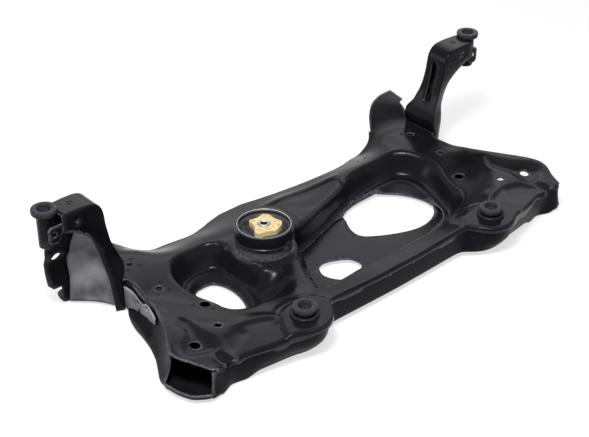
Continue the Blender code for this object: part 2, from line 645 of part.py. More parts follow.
def tower_near_y(x, z):
    """The near side wall's place: its fold's line, and a lean towards the free edge."""
    levels, fold, lean, _ = vec(*TOWER_SECTIONS).T
    start = np.interp(z, [p[1] for p in TOWER_PROFILE], [p[0] for p in TOWER_PROFILE])
    free = sorted((p[1], p[0]) for p in NEAR_FREE_EDGE)
    end = np.interp(z, [p[0] for p in free], [p[1] for p in free])
    share = np.clip((x - start) / np.maximum(end - start, 12.0), 0, 1)
    return np.interp(z, levels, fold) + np.interp(z, levels, lean) * share


def tower_far_y(x, z):
    """The far side wall's place: it flares towards its foot, and closes in a little at the arm's end."""
    levels = [row[0] for row in TOWER_SECTIONS]
    flare = np.interp(z, levels, [row[3] for row in TOWER_SECTIONS])
    lean = TOWER_FAR_LEAN * np.clip((x - 317) / 80, 0, 1) * smooth((60 - z) / 30)
    return flare + lean - TOWER_END_WAIST * smooth((x - TOWER_END_X[0]) / (TOWER_END_X[1] - TOWER_END_X[0]))


def tower_shell(name, side):
    """The arm: a web with a slot, turned over into the top plate, and two side walls."""
    bm = bmesh.new()
    profile = curve_through(TOWER_PROFILE, 12.0, closed=False, corners={2, 0, 1})
    travel = np.concatenate([[0], np.cumsum(np.linalg.norm(np.diff(profile, axis=0), axis=1))])
    total = travel[-1]
    near = tower_near_y(profile[:, 0], profile[:, 1])
    far = tower_far_y(profile[:, 0], profile[:, 1])

    def on_web(plan):
        x = np.interp(plan[:, 0], travel, profile[:, 0])
        z = np.interp(plan[:, 0], travel, profile[:, 1])
        return np.column_stack([side * x, plan[:, 1], z])

    across = np.array([0.25, 0.5, 0.75])
    edge = list(zip(travel, near)) + [(total, y) for y in near[-1] + (far[-1] - near[-1]) * across]
    edge += [(t, y) for t, y in zip(travel[::-1], far[::-1])]
    edge += [(0, y) for y in far[0] + (near[0] - far[0]) * across]
    reach = [float(np.interp(z, profile[:, 1], travel)) for z in SLOT_SPAN]
    ends = SLOT_WIDTH / 2
    slot = [(reach[0] + ends + ends * math.cos(a), SLOT_Y + ends * math.sin(a))
            for a in np.linspace(math.pi / 2, 3 * math.pi / 2, 7)]
    slot += [(s, SLOT_Y - ends) for s in np.linspace(reach[0] + ends, reach[1] - ends, 8)[1:-1]]
    slot += [(reach[1] - ends + ends * math.cos(a), SLOT_Y + ends * math.sin(a))
             for a in np.linspace(-math.pi / 2, math.pi / 2, 7)]
    slot += [(s, SLOT_Y + ends) for s in np.linspace(reach[1] - ends, reach[0] + ends, 8)[1:-1]]
    pilot_s = float(np.interp(TOWER_PILOT[0], profile[-4:, 0], travel[-4:]))
    pilot = circle(pilot_s, *TOWER_PILOT[1:], 10)
    rows = [(np.array([(t, y) for t, a, b in zip(travel[1:-1], near[1:-1], far[1:-1]) for y in (a + 10, b - 10)]),
             5.0)]
    flat_sheet(bm, vec(*edge), [vec(*slot), pilot], rows, on_web, step=19.0, margin=8.0)
    low_x, low_z = profile[0]
    for free, foot, is_near in ((NEAR_FREE_EDGE, -40.0, True), (FAR_FREE_EDGE, -45.0, False)):
        open_edge = curve_through([tuple(profile[-1])] + free, 8.0, closed=False,
                                  corners={0, 1, len(free)} if is_near else set(range(20)))
        wall = list(profile) + list(open_edge[1:]) + [(TOWER_FOOT_X, foot)]
        wall += [(TOWER_FOOT_X, low_z - 20), (TOWER_FOOT_X, low_z)]

        def on_wall(plan, is_near=is_near):
            wall_y = tower_near_y if is_near else tower_far_y
            return np.column_stack([side * plan[:, 0], wall_y(plan[:, 0], plan[:, 1]), plan[:, 1]])

        cuts = [] if is_near else [circle(FAR_HOLE[0], FAR_HOLE[1], FAR_HOLE[2], 12)]
        flat_sheet(bm, vec(*wall), cuts, [], on_wall, step=22.0, margin=9.0)
    bmesh.ops.remove_doubles(bm, verts=bm.verts, dist=0.05 * MM)
    bmesh.ops.recalc_face_normals(bm, faces=bm.faces)
    folds = [e for e in bm.edges if len(e.link_faces) == 2 and e.calc_face_angle(0) > math.radians(60)]
    bmesh.ops.bevel(bm, geom=folds, offset=4.0 * MM, offset_type='OFFSET', segments=2, profile=0.5,
                    affect='EDGES', clamp_overlap=True)
    bmesh.ops.recalc_face_normals(bm, faces=bm.faces)
    web = min(bm.faces, key=lambda f: (f.calc_center_median() - Vector((side * 332, 66, 90)) * MM).length)
    if web.normal.x * side > 0:
        bmesh.ops.reverse_faces(bm, faces=bm.faces)
    obj = new_object(name, bm, "paint", 50)
    sheet = obj.modifiers.new("Sheet", 'SOLIDIFY')
    sheet.thickness = TOWER_SHEET * MM
    sheet.offset = -1
    sheet.use_even_offset = True
    return obj


def closing_plate(name, side):
    """The curved sheet that closes the arm between its side walls."""
    levels = np.linspace(-36, 116, 12)
    free = sorted((z, x) for x, z in NEAR_FREE_EDGE)
    near_x = np.interp(levels, [z for z, _ in free], [x for _, x in free]) - CLOSING_NEAR_INSET
    near_x = np.minimum(near_x, CLOSING_NEAR_LIMIT)
    far_x = np.interp(levels, *vec(*CLOSING_FAR_X).T)
    bm = bmesh.new()
    rows = []
    for x0, x1, z in zip(near_x, far_x, levels):
        near = np.array([x0, float(tower_near_y(x0, z)) + TOWER_SHEET + 2.0])
        far = np.array([x1, float(tower_far_y(x1, z)) - TOWER_SHEET * 1.2 - CLOSING_SHEET - 3.0])
        row = []
        for t in np.linspace(0, 1, 6):
            point = near + (far - near) * t
            point[0] -= 7.0 * math.sin(math.pi * t)
            row.append(bm.verts.new((side * point[0] * MM, point[1] * MM, z * MM)))
        rows.append(row)
    for a, b in zip(rows, rows[1:]):
        for k in range(len(a) - 1):
            bm.faces.new((a[k], a[k + 1], b[k + 1], b[k]))
    bmesh.ops.recalc_face_normals(bm, faces=bm.faces)
    if sum(f.normal.x for f in bm.faces) * side < 0:
        bmesh.ops.reverse_faces(bm, faces=bm.faces)
    obj = new_object(name, bm, "paint", 50)
    sheet = obj.modifiers.new("Sheet", 'SOLIDIFY')
    sheet.thickness = CLOSING_SHEET * MM
    sheet.offset = -1
    sheet.use_even_offset = True
    return obj


def tower_sleeve(name, side):
    """The flanged sleeve welded to the arm's end."""
    top = TOWER_SLEEVE_TOP
    low = top - TOWER_SLEEVE_LENGTH
    flange = top - TOWER_SLEEVE_FLANGE
    profile = [(TOWER_SLEEVE_BORE_R, top - 1), (TOWER_SLEEVE_BORE_R + 1, top), (TOWER_SLEEVE_FLANGE_R - 1.5, top),
               (TOWER_SLEEVE_FLANGE_R, top - 1.5), (TOWER_SLEEVE_FLANGE_R, flange + 1),
               (TOWER_SLEEVE_FLANGE_R - 1.5, flange), (TOWER_SLEEVE_R + 1.5, flange),
               (TOWER_SLEEVE_R, flange - 1.5), (TOWER_SLEEVE_R, low + 1), (TOWER_SLEEVE_R - 1, low),
               (TOWER_SLEEVE_BORE_R, low)]
    return lathe(name, profile, (side * TOWER_SLEEVE_XY[0], TOWER_SLEEVE_XY[1]), "paint")


def rear_sleeve(name, side):
    """The bolting sleeve that stands through both shells, with its weld bead on the pad."""
    centre = (side * REAR_SLEEVE_XY[0], REAR_SLEEVE_XY[1])
    seats = [upper_height(vec((centre[0] + REAR_WELD_R * math.cos(a), centre[1] + REAR_WELD_R * math.sin(a))))
             for a in np.linspace(0, 2 * math.pi, 16)]
    seat = float(max(float(s[0]) for s in seats)) + FIT_GAP
    top = REAR_SLEEVE_TOP
    low = REAR_SLEEVE_LOW
    profile = [(REAR_SLEEVE_BORE_R, top - 1), (REAR_SLEEVE_BORE_R + 1, top), (REAR_SLEEVE_HEAD_R - 1.2, top),
               (REAR_SLEEVE_HEAD_R, top - 1.2), (REAR_SLEEVE_HEAD_R, top - 6), (REAR_SLEEVE_HEAD_R - 2, top - 8),
               (REAR_SLEEVE_HEAD_R - 1, seat + 3.5), (REAR_WELD_R - 1, seat + 2), (REAR_WELD_R, seat),
               (REAR_SLEEVE_TUBE_R, seat), (REAR_SLEEVE_TUBE_R, low), (REAR_SLEEVE_BORE_R, low)]
    return lathe(name, profile, centre, "paint")


def weld_nut(name, x, y, hole, flange):
    """A round weld nut under the deck, level with the sheet above it."""
    reach = flange / 2 + 2.0
    around = [float(upper_height(vec((x + reach * math.cos(a), y + reach * math.sin(a))))[0])
              for a in np.linspace(0, 2 * math.pi, 12)]
    top = min(around) - SHELL_SHEET * 1.3 - FIT_GAP
    body = hole / 2 + 2.0
    profile = [(hole / 2, top), (flange / 2, top), (flange / 2, top - NUT_FLANGE), (body, top - NUT_FLANGE),
               (body, top - NUT_FLANGE - NUT_BODY),
               (hole / 2, top - NUT_FLANGE - NUT_BODY)]
    return lathe(name, profile, (x, y), "steel", 12)


def bush():
    """The engine-mount bush in its collar, from outside in."""
    inner = BUSH_RING_R - BUSH_RING_WALL
    lathe("bush_collar", [(COLLAR_R - COLLAR_WALL, BUSH_RING_BOTTOM - FIT_GAP), (COLLAR_R, BUSH_RING_BOTTOM - FIT_GAP),
                          (COLLAR_R, COLLAR_BOTTOM), (COLLAR_R - COLLAR_WALL, COLLAR_BOTTOM)],
          BUSH_XY, "paint", 30)
    lathe("bush_outer_ring", [(inner, BUSH_TOP - 1), (inner + 1, BUSH_TOP), (BUSH_RING_R - 1, BUSH_TOP),
                              (BUSH_RING_R, BUSH_TOP - 1), (BUSH_RING_R, BUSH_RING_BOTTOM + 1),
                              (BUSH_RING_R - 1, BUSH_RING_BOTTOM), (inner, BUSH_RING_BOTTOM)],
          BUSH_XY, "paint", 30)
    turn = np.array([[math.cos(CORE_TURN), math.sin(CORE_TURN)], [-math.sin(CORE_TURN), math.cos(CORE_TURN)]])
    core = curve_through(CORE_OUTLINE, 5.0, corners=set(range(len(CORE_OUTLINE)))) @ turn
    prism("bush_core", core, [circle(0, 0, 2 * (INSERT_R + FIT_GAP), 20)], CORE_BOTTOM, CORE_TOP, "aluminium", BUSH_XY)
    outer = circle(0, 0, 2 * (inner - FIT_GAP), 34)
    prism("bush_rubber", outer, [grown(core, FIT_GAP)], BUSH_RING_BOTTOM + FIT_GAP, RUBBER_TOP, "rubber", BUSH_XY)
    lathe("bush_insert", [(INSERT_BORE_R, CORE_TOP + 1.5), (INSERT_R, CORE_TOP + 1.5), (INSERT_R, CORE_BOTTOM),
                          (INSERT_BORE_R, CORE_BOTTOM)], BUSH_XY, "steel", 20)


def side_gusset(name, side):
    """The small plate with three holes under the deck's edge behind the tower."""
    bm = bmesh.new()
    holes = [circle(y, z, 6, 10) for y, z in GUSSET_HOLES]

    def place(plan):
        x = np.interp(plan[:, 0], *vec(*GUSSET_LINE).T)
        return np.column_stack([side * x, plan])

    flat_sheet(bm, vec(*GUSSET_OUTLINE), holes, [], place, step=10.0)
    bmesh.ops.recalc_face_normals(bm, faces=bm.faces)
    if sum(f.normal.x for f in bm.faces) * side < 0:
        bmesh.ops.reverse_faces(bm, faces=bm.faces)
    obj = new_object(name, bm, "paint")
    sheet = obj.modifiers.new("Sheet", 'SOLIDIFY')
    sheet.thickness = CLOSING_SHEET * MM
    sheet.offset = -1
    return obj


def clip_tab(name, side):
    """The small plate with a square hole on the arm's outboard end."""
    low, high = CLIP_TAB_Z
    near, far = CLIP_TAB_X
    outline = vec((near, low + 12), (near + 9, low), (far - 4, low), (far, low + 4), (far, high - 4),
                  (far - 4, high), (near, high)) * [side, 1]
    x, z, half = CLIP_HOLE
    hole = vec((x - half, z - half), (x + half, z - half), (x + half, z + half), (x - half, z + half)) * [side, 1]
    ends = [tower_near_y(x, z) for x in (near, 402) for z in np.linspace(low, high, 5)]
    wall = float(max(ends)) + TOWER_SHEET * 1.1 + CLIP_TAB_CLEARANCE
    prism(name, outline, [hole], wall, wall + CLIP_TAB_SHEET, "paint", upright=True)


def stand_on_floor():
    """Moves every piece so that the part stands on its lowest point, centred on the origin."""
    bpy.context.view_layer.update()
    depsgraph = bpy.context.evaluated_depsgraph_get()
    pieces = [o for o in bpy.context.scene.objects if o.type == 'MESH']
    corners = [v.co for o in pieces for v in o.evaluated_get(depsgraph).data.vertices]
    low = [min(c[k] for c in corners) for k in range(3)]
    high = [max(c[k] for c in corners) for k in range(3)]
    shift = Vector((-(low[0] + high[0]) / 2, -(low[1] + high[1]) / 2, -low[2]))
    for piece in pieces:
        piece.location = shift


def build():
    """Builds every piece of the subframe."""
    for old in list(bpy.data.objects):
        bpy.data.objects.remove(old, do_unlink=True)
    upper_shell()
    lower_shell()
    bush()
    for word, side in (("left", -1), ("right", 1)):
        tower_shell(word + "_tower_shell", side)
        closing_plate(word + "_tower_closing_plate", side)
        tower_sleeve(word + "_tower_sleeve", side)
        rear_sleeve(word + "_rear_sleeve", side)
        side_gusset(word + "_side_gusset", side)
        clip_tab(word + "_clip_tab", side)
        for place, (x, y, hole, flange) in DECK_BOLTS.items():
            if flange:
                weld_nut("_".join([word, place, "weld_nut"]), side * x, y, hole, flange)
    stand_on_floor()


if __name__ == "__main__":
    build()
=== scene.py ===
"""Looks of the front subframe: pressed steel shells, towers, sleeves, welds and the engine-mount bush.

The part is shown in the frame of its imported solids. Sizes are written in millimetres on the drawing's own
axes, X to the right, Y to the front, Z up, zero in the middle of the deck, and are moved into the frame here.
"""

import math
import random

import bmesh
import bpy
import numpy as np
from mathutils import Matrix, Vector
from mathutils.geometry import delaunay_2d_cdt


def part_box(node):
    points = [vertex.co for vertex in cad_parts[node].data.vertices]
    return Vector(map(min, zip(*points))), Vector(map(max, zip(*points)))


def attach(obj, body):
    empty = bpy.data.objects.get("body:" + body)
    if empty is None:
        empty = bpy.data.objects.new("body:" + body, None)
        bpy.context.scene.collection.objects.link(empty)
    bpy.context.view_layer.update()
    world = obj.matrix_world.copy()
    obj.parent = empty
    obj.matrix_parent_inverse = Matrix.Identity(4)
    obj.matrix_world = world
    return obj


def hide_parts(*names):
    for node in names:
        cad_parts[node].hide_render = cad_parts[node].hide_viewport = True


# The frame
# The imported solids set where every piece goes. The threaded insert of the bush is the drawing's datum: its
# axis and its top face tie the drawing's millimetres to the frame's metres.
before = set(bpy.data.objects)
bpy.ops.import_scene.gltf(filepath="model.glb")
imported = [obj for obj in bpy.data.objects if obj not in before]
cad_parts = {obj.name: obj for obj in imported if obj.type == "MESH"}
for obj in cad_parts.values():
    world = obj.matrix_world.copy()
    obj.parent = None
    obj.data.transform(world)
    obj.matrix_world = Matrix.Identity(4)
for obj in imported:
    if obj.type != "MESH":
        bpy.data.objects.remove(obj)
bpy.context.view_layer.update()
MM = 0.001
BUSH_XY = (-110.0, -19.0)
INSERT_TOP = 42.5
low_corner, high_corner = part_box("bush_insert")
DATUM = np.array([(low_corner.x + high_corner.x) / 2 - BUSH_XY[0] * MM,
                  (low_corner.y + high_corner.y) / 2 - BUSH_XY[1] * MM,
                  high_corner.z - INSERT_TOP * MM])


def framed(places):
    """Places on the drawing, in millimetres, as places in the frame, in metres."""
    return np.asarray(places, dtype=float) * MM + DATUM


# Black dip coat
# The whole part is dipped in black electro-coat after welding and baked. It gives a deep, slightly violet
# black with a semi-gloss sheen and faint orange peel. The greyer speckles on the pressed crests are a painted
# highlight that stands in for glints.
def srgb(code):
    """A hex colour as the shader's linear values."""
    parts = [int(code[k:k + 2], 16) / 255 for k in (1, 3, 5)]
    return tuple(p / 12.92 if p <= 0.04045 else ((p + 0.055) / 1.055) ** 2.4 for p in parts) + (1.0,)


def new_material(name):
    """An empty node material with its shader."""
    material = bpy.data.materials.new(name)
    material.use_nodes = True
    tree = material.node_tree
    return material, tree, tree.nodes["Principled BSDF"]


def add_node(tree, kind, values=None, **settings):
    """A node with its settings, and its sockets set or linked."""
    node = tree.nodes.new(kind)
    for key, value in settings.items():
        setattr(node, key, value)
    for key, value in (values or {}).items():
        if isinstance(value, bpy.types.NodeSocket):
            tree.links.new(value, node.inputs[key])
        else:
            node.inputs[key].default_value = value
    return node


def coat_material(name, dark, worn, gloss=(0.13, 0.22), peel=0.04, bare="#6c6b73"):
    """Baked black coat over steel: orange peel, slow changes of film thickness, painted highlight on crests.
    """
    material, tree, shader = new_material(name)
    place = add_node(tree, "ShaderNodeTexCoord").outputs["Object"]
    film, peel_wave, grit = [
        add_node(tree, "ShaderNodeTexNoise",
                 {"Vector": place, "Scale": scale, "Detail": detail}).outputs["Fac"]
        for scale, detail in (FILM_PATCHES, PEEL_WAVES, GRIT_GRAINS)]
    shade = add_node(tree, "ShaderNodeMapRange", {"Value": film, 1: 0.3, 2: 0.75}).outputs[0]
    colour = add_node(tree, "ShaderNodeMix", {"Factor": shade, 6: srgb(dark), 7: srgb(worn)},
                      data_type='RGBA')
    # Painted highlight: on outward bends of the mesh, grit speckles take the bare colour in place of glints;
    # thin is this mask
    bend = add_node(tree, "ShaderNodeNewGeometry").outputs["Pointiness"]
    crest = add_node(tree, "ShaderNodeMapRange", {"Value": bend, 1: 0.53, 2: 0.6}).outputs[0]
    speckle = add_node(tree, "ShaderNodeMapRange", {"Value": grit, 1: 0.42, 2: 0.62}).outputs[0]
    thin = add_node(tree, "ShaderNodeMath", {0: crest, 1: speckle}, operation='MULTIPLY').outputs[0]
    crest_highlighted = add_node(tree, "ShaderNodeMix", {"Factor": thin, 6: colour.outputs[2], 7: srgb(bare)},
                      data_type='RGBA')
    tree.links.new(crest_highlighted.outputs[2], shader.inputs["Base Color"])
    dull = add_node(tree, "ShaderNodeMapRange", {"Value": film, 3: gloss[0], 4: gloss[1]}).outputs[0]
    specks = add_node(tree, "ShaderNodeMapRange",
                      {"Value": grit, 1: 0.45, 2: 0.7, 3: 0.0, 4: 0.06}).outputs[0]
    rough = add_node(tree, "ShaderNodeMath", {0: dull, 1: specks}, operation='ADD').outputs[0]
    tree.links.new(rough, shader.inputs["Roughness"])
    bump = add_node(tree, "ShaderNodeBump", {"Height": peel_wave, "Strength": peel, "Distance": 0.0006})
    tree.links.new(bump.outputs["Normal"], shader.inputs["Normal"])
    shader.inputs["Specular IOR Level"].default_value = COAT_SHINE
    shader.inputs["Specular Tint"].default_value = srgb("#f0ecff")
    return material


# Waves per metre and detail of the film's slow patches, of the orange peel and of the grit
FILM_PATCHES = (18.0, 4.0)
PEEL_WAVES = (420.0, 1.5)
GRIT_GRAINS = (1500.0, 2.0)
COAT_SHINE = 0.075
# The plain film on most of the part, then the film on the towers, whose painted crest highlight is kept dark
BLACK_COAT = coat_material("black dip coat", "#0b0a0d", "#17161b")
TOWER_COAT = coat_material("black dip coat on towers", "#0b0a0d", "#17161b", bare="#1d1c21")
# Weld metal under the film is rippled, and gives a broken sheen
WELD_COAT = coat_material("black coat on weld metal", "#121114", "#232226", gloss=(0.16, 0.3), peel=0.8)
# The film on the pan's walls is duller and carries painted shade, a darker colour on its steep faces; the
# film inside the towers is dry and flat, and its darker colour is painted shade too
SHADED_WALL_COAT = coat_material("black dip coat with painted shade on the pan's walls", "#060508", "#0d0c10", gloss=(0.34, 0.5),
                          peel=0.03)
SHADED_INSIDE_COAT = coat_material("dull coat with painted shade inside the towers", "#070709", "#0c0c0f", gloss=(0.6, 0.8), peel=0.02)


# Lower shell
# A deep-drawn pan of 2.5 mm steel: a flat floor with three windows, and outer walls that stand up to the
# upper shell. The pan is open at the end of each lobe. Floor and walls are one sheet, so they are made as one.
SHELL_SHEET = 2.5
FIT_GAP = 0.4
FLOOR_TOP = -36.0
LOBE_DROP = 8.0
WALL_RADIUS = 4.0
WALL_STEP = 5.0
WALL_SLOPE = 0.7
LOWER_RIGHT = [(0, -187, 0, -186), (60, -186, 60, -185), (104, -184.5, 100, -184), (128, -184, 124, -183.5),
               (144, -185.5, 139, -185), (155, -205, 153, -198), (167, -217, 166, -206),
               (182, -226, 182, -209), (200, -224, 200, -208), (216, -216, 216, -203),
               (240, -209, 240, -200), (268, -202, 272, -196), (295, -194, 300, -189),
               (311, -191, 313, -186), (330, -190, 332, -195), (350, -195, 354, -198),
               (358, -177, 374, -184), (366, -154, 382, -163), (369, -137, 384, -145),
               (361, -121, 379, -123), (351, -106, 367, -103), (340, -86, 356, -84), (330, -61, 346, -58),
               (318, -37, 340, -33), (314, -13, 336, -8), (311, 11, 331, 8), (308, 27, 324, 24),
               (306, 37, 314, 37), (308, 46, 308, 48), (315, 56, 310, 58), (315, 98, 310, 98),
               (313, 118, 308, 112), (300, 137, 296, 129), (285, 149, 280, 141), (268, 141, 262, 133),
               (254, 127, 248, 119), (240, 116, 235, 108), (221, 112, 217, 104), (196, 106, 193, 98),
               (160, 92, 158, 85)]
LOWER_FRONT = [(120, 88, 120, 81), (60, 92, 60, 85), (0, 101, 0, 94), (-36, 114, -38, 106),
               (-80, 115, -79, 107), (-104, 100, -102, 93), (-128, 94, -128, 87)]
MOUTH_START = {1: -66.0, -1: -140.0}
MOUTH_RIM = 3.0
MOUTH_NOTCH = 24.0
MOUTH_STEP = np.array([(361.0, -153.0), (342.0, -184.0)])
MOUTH_END = {1: -190.0, -1: -205.0}
WINDOW_RIGHT = [(56, -40), (80, 10), (104, 20), (133, 23), (160, 19), (184, 0), (200, -28), (202, -58),
                (189, -81), (160, -95), (131, -95), (100, -84), (72, -67)]
WINDOW_MIDDLE = [(-59, -96), (-52, -75), (-38, -69), (-16, -76), (0, -88), (3, -108), (-14, -120),
                 (-44, -120)]
BASIN_FOOT = [(-240, -14), (-235, 12), (-214, 25), (-192, 27), (-175, 22), (-167, 8), (-166, -22),
              (-168, -50), (-180, -84), (-200, -99), (-222, -95), (-234, -76), (-239, -46)]
REAR_SLEEVE_XY = (188.0, -194.0)
REAR_BORE = 17.6


def curve_through(points, step, closed=True, corners=()):
    """Even points on a smooth curve through the given points, sharp where a point's index is in corners."""
    nodes = [np.array(p, dtype=float) for p in points]
    count = len(nodes)
    result = []
    for i in range(count if closed else count - 1):
        here = nodes[i]
        there = nodes[(i + 1) % count]
        length = np.linalg.norm(there - here)
        leave = arrive = (there - here) / length
        if i not in corners and (closed or i > 0):
            before = nodes[i - 1]
            leave = (there - before) / (np.linalg.norm(here - before) + length)
        if (i + 1) % count not in corners and (closed or i + 2 < count):
            after = nodes[(i + 2) % count]
            arrive = (after - here) / (np.linalg.norm(after - there) + length)
        pieces = max(1, round(length / step))
        for k in range(pieces):
            t = k / pieces
            result.append((2 * t**3 - 3 * t**2 + 1) * here + (t**3 - 2 * t**2 + t) * length * leave
                          + (3 * t**2 - 2 * t**3) * there + (t**3 - t**2) * length * arrive)
    if not closed:
        result.append(nodes[-1])
    return np.array(result)


def circle(x, y, diameter, segments=24):
    """The points of a round hole."""
    turn = np.linspace(0, 2 * math.pi, segments, endpoint=False)
    return np.column_stack([x + diameter / 2 * np.cos(turn), y + diameter / 2 * np.sin(turn)])


def outward(loop):
    """Unit normals of a closed loop, pointing out of it."""
    along = np.roll(loop, -1, axis=0) - np.roll(loop, 1, axis=0)
    along /= np.linalg.norm(along, axis=1)[:, None]
    area = np.sum(loop[:, 0] * np.roll(loop[:, 1], -1) - np.roll(loop[:, 0], -1) * loop[:, 1])
    return (1.0 if area > 0 else -1.0) * np.stack([along[:, 1], -along[:, 0]], axis=1)


def grown(loop, amount):
    """The loop moved outwards, or inwards by a negative amount."""
    return loop + outward(loop) * amount


def inside(points, loop):
    """Which points lie inside a closed loop."""
    result = np.zeros(len(points), dtype=bool)
    low, high = loop.min(axis=0), loop.max(axis=0)
    near = np.where(np.all((points >= low) & (points <= high), axis=1))[0]
    x, y = points[near, 0][:, None], points[near, 1][:, None]
    x0, y0 = loop[:, 0], loop[:, 1]
    x1, y1 = np.roll(x0, -1), np.roll(y0, -1)
    rise = np.where(y1 == y0, 1e-9, y1 - y0)
    crosses = ((y0 > y) != (y1 > y)) & (x < (x1 - x0) * (y - y0) / rise + x0)
    result[near] = np.sum(crosses, axis=1) % 2 == 1
    return result


def distance(points, loop, closed=True, reach=40.0):
    """Distance of each point from a loop or an open line, exact up to reach."""
    result = np.full(len(points), reach)
    low, high = loop.min(axis=0) - reach, loop.max(axis=0) + reach
    near = np.where(np.all((points >= low) & (points <= high), axis=1))[0]
    start = loop if closed else loop[:-1]
    run = (np.roll(loop, -1, axis=0) if closed else loop[1:]) - start
    for part in np.array_split(near, max(1, len(near) // 4000)):
        to = points[part][:, None, :] - start[None, :, :]
        share = np.clip(np.sum(to * run, axis=2) / np.sum(run * run, axis=1), 0, 1)
        gap = to - share[..., None] * run
        result[part] = np.minimum(reach, np.sqrt(np.min(np.sum(gap * gap, axis=2), axis=1)))
    return result


def smooth(t):
    """An S-shaped ramp from 0 to 1."""
    t = np.clip(t, 0, 1)
    return t * t * (3 - 2 * t)


def swell(points, line, width, closed=False):
    """1 on a line, falling smoothly to 0 at half the width to either side."""
    return smooth(1 - 2 * distance(points, line, closed, reach=width) / width)


def between(points, rim, foot):
    """0 on and outside the rim line, 1 on and inside the foot line, even in between."""
    to_rim = distance(points, rim, reach=90.0)
    to_foot = distance(points, foot, reach=90.0)
    share = np.where(inside(points, rim), to_rim / (to_rim + to_foot + 1e-9), 0.0)
    return np.where(inside(points, foot), 1.0, share)


def spread(seed, groups, keep):
    """The points of each group that keep accepts and that lie clear of all points taken before."""
    cell = 8.0
    taken = {}
    for p in seed:
        taken.setdefault((int(p[0] // cell), int(p[1] // cell)), []).append((p[0], p[1]))
    fresh = []
    for group, gap in groups:
        for x, y in group[keep(group)]:
            i, j = int(x // cell), int(y // cell)
            around = [q for a in (i - 1, i, i + 1) for b in (j - 1, j, j + 1) for q in taken.get((a, b), ())]
            if all((x - q[0]) ** 2 + (y - q[1]) ** 2 > gap * gap for q in around):
                fresh.append((x, y))
                taken.setdefault((i, j), []).append((x, y))
    return np.array(fresh).reshape(-1, 2)


def staggered(loop, step):
    """A staggered grid over a loop's box."""
    low, high = loop.min(axis=0), loop.max(axis=0)
    rows = []
    for j, y in enumerate(np.arange(low[1], high[1], step * 0.87)):
        xs = np.arange(low[0] + (j % 2) * step / 2, high[0], step)
        rows.append(np.column_stack([xs, np.full(len(xs), y)]))
    return np.concatenate(rows)


def cut_sheet(bm, outline, holes, guides, place, step, margin=0.3):
    """Fills an outline round its holes with triangles and presses it to shape. Returns its edge rings."""
    loops = [outline] + holes

    def keep(points):
        ok = inside(points, outline) & (distance(points, outline, reach=step) > step * margin)
        for hole in holes:
            ok &= ~inside(points, hole) & (distance(points, hole, reach=step) > step * 0.25)
        return ok

    seed = np.concatenate(loops)
    inner = spread(seed, guides + [(staggered(outline, step), step * 0.62)], keep)
    edges = []
    start = 0
    for loop in loops:
        edges += [(start + k, start + (k + 1) % len(loop)) for k in range(len(loop))]
        start += len(loop)
    flat = [Vector((float(x), float(y))) for x, y in np.concatenate([seed, inner])]
    places, _, faces, origins, _, _ = delaunay_2d_cdt(flat, edges, [], 1, 1e-5)
    plan = np.array([[p.x, p.y] for p in places])
    centres = np.array([plan[list(f)].mean(axis=0) for f in faces])
    wanted = inside(centres, outline)
    for hole in holes:
        wanted &= ~inside(centres, hole)
    verts = [bm.verts.new(p) for p in framed(place(plan))]
    for face, ok in zip(faces, wanted):
        if ok:
            bm.faces.new([verts[k] for k in face])
    fresh = {old: new for new, olds in enumerate(origins) for old in olds}
    rings = []
    start = 0
    for loop in loops:
        rings.append([verts[fresh[start + k]] for k in range(len(loop))])
        start += len(loop)
    for vert in [v for v in verts if not v.link_faces]:
        bm.verts.remove(vert)
    return rings


def turn_edge(bm, ring, rows, closed=False):
    """Draws a sheet on from a run of its edge through rows of new places on the drawing."""
    previous = ring
    for row in rows:
        fresh = [bm.verts.new(p) for p in framed(row)]
        for k in range(len(ring) if closed else len(ring) - 1):
            n = (k + 1) % len(ring)
            bm.faces.new((previous[k], previous[n], fresh[n], fresh[k]))
        previous = fresh
    return previous


def runs_of(wanted):
    """Unbroken runs of true values round a closed ring."""
    count = len(wanted)
    runs = []
    for start in [k for k in range(count) if wanted[k] and not wanted[k - 1]]:
        run = []
        k = start
        while wanted[k % count] and len(run) < count:
            run.append(k % count)
            k += 1
        if len(run) > 2:
            runs.append(run)
    return runs


def fitted(name, bm, material, nodes=(), crease=50.0):
    """Makes a finished piece of the part, tied to its body, and hides the solids that it stands for."""
    mesh = bpy.data.meshes.new(name)
    bm.to_mesh(mesh)
    bm.free()
    mesh.materials.append(material)
    mesh.shade_smooth()
    mesh.set_sharp_from_angle(angle=math.radians(crease))
    piece = bpy.data.objects.new(name, mesh)
    bpy.context.scene.collection.objects.link(piece)
    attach(piece, "root")
    if nodes:
        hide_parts(*nodes)
    return piece


def pressed(name, bm, thickness, nodes, facing=(0, 0, 1), material=None, crease=50.0):
    """A sheet piece: its faces turned to one side, and its thickness behind them."""
    bmesh.ops.remove_doubles(bm, verts=bm.verts, dist=0.02 * MM)
    bmesh.ops.recalc_face_normals(bm, faces=bm.faces)
    total = sum((f.normal * f.calc_area() for f in bm.faces), Vector())
    if total.dot(Vector(facing)) < 0:
        bmesh.ops.reverse_faces(bm, faces=bm.faces)
    piece = fitted(name, bm, material or BLACK_COAT, nodes, crease)
    sheet = piece.modifiers.new("sheet thickness", 'SOLIDIFY')
    sheet.thickness = thickness * MM
    sheet.offset = -1
    sheet.use_even_offset = True
    sheet.thickness_clamp = 0
    return piece


def floor_height(points):
    """Height of the lower shell's top face."""
    x = np.abs(points[:, 0])
    y = points[:, 1]
    lobe = smooth((x - 268) / 24) * smooth((-y + 20) / 30)
    z = FLOOR_TOP - LOBE_DROP * np.maximum(lobe, smooth((x - 290) / 20))
    z = z - 2.5 * swell(points, grown(RIGHT_WINDOW, 1.0), 16.0, True) * smooth((80 - points[:, 0]) / 20)
    folded = np.column_stack([x, y])
    for line, rise in ((MOUTH_STEP, 3.0), (MOUTH_STEP + [9, -7], 2.5)):
        along = (line[1] - line[0]) / np.linalg.norm(line[1] - line[0])
        off = (folded - line[0]) @ np.array([along[1], -along[0]])
        z = z + rise * smooth(0.5 - off / 3.0) * smooth((x - 318) / 16) * smooth((-y - 118) / 16)
    return z


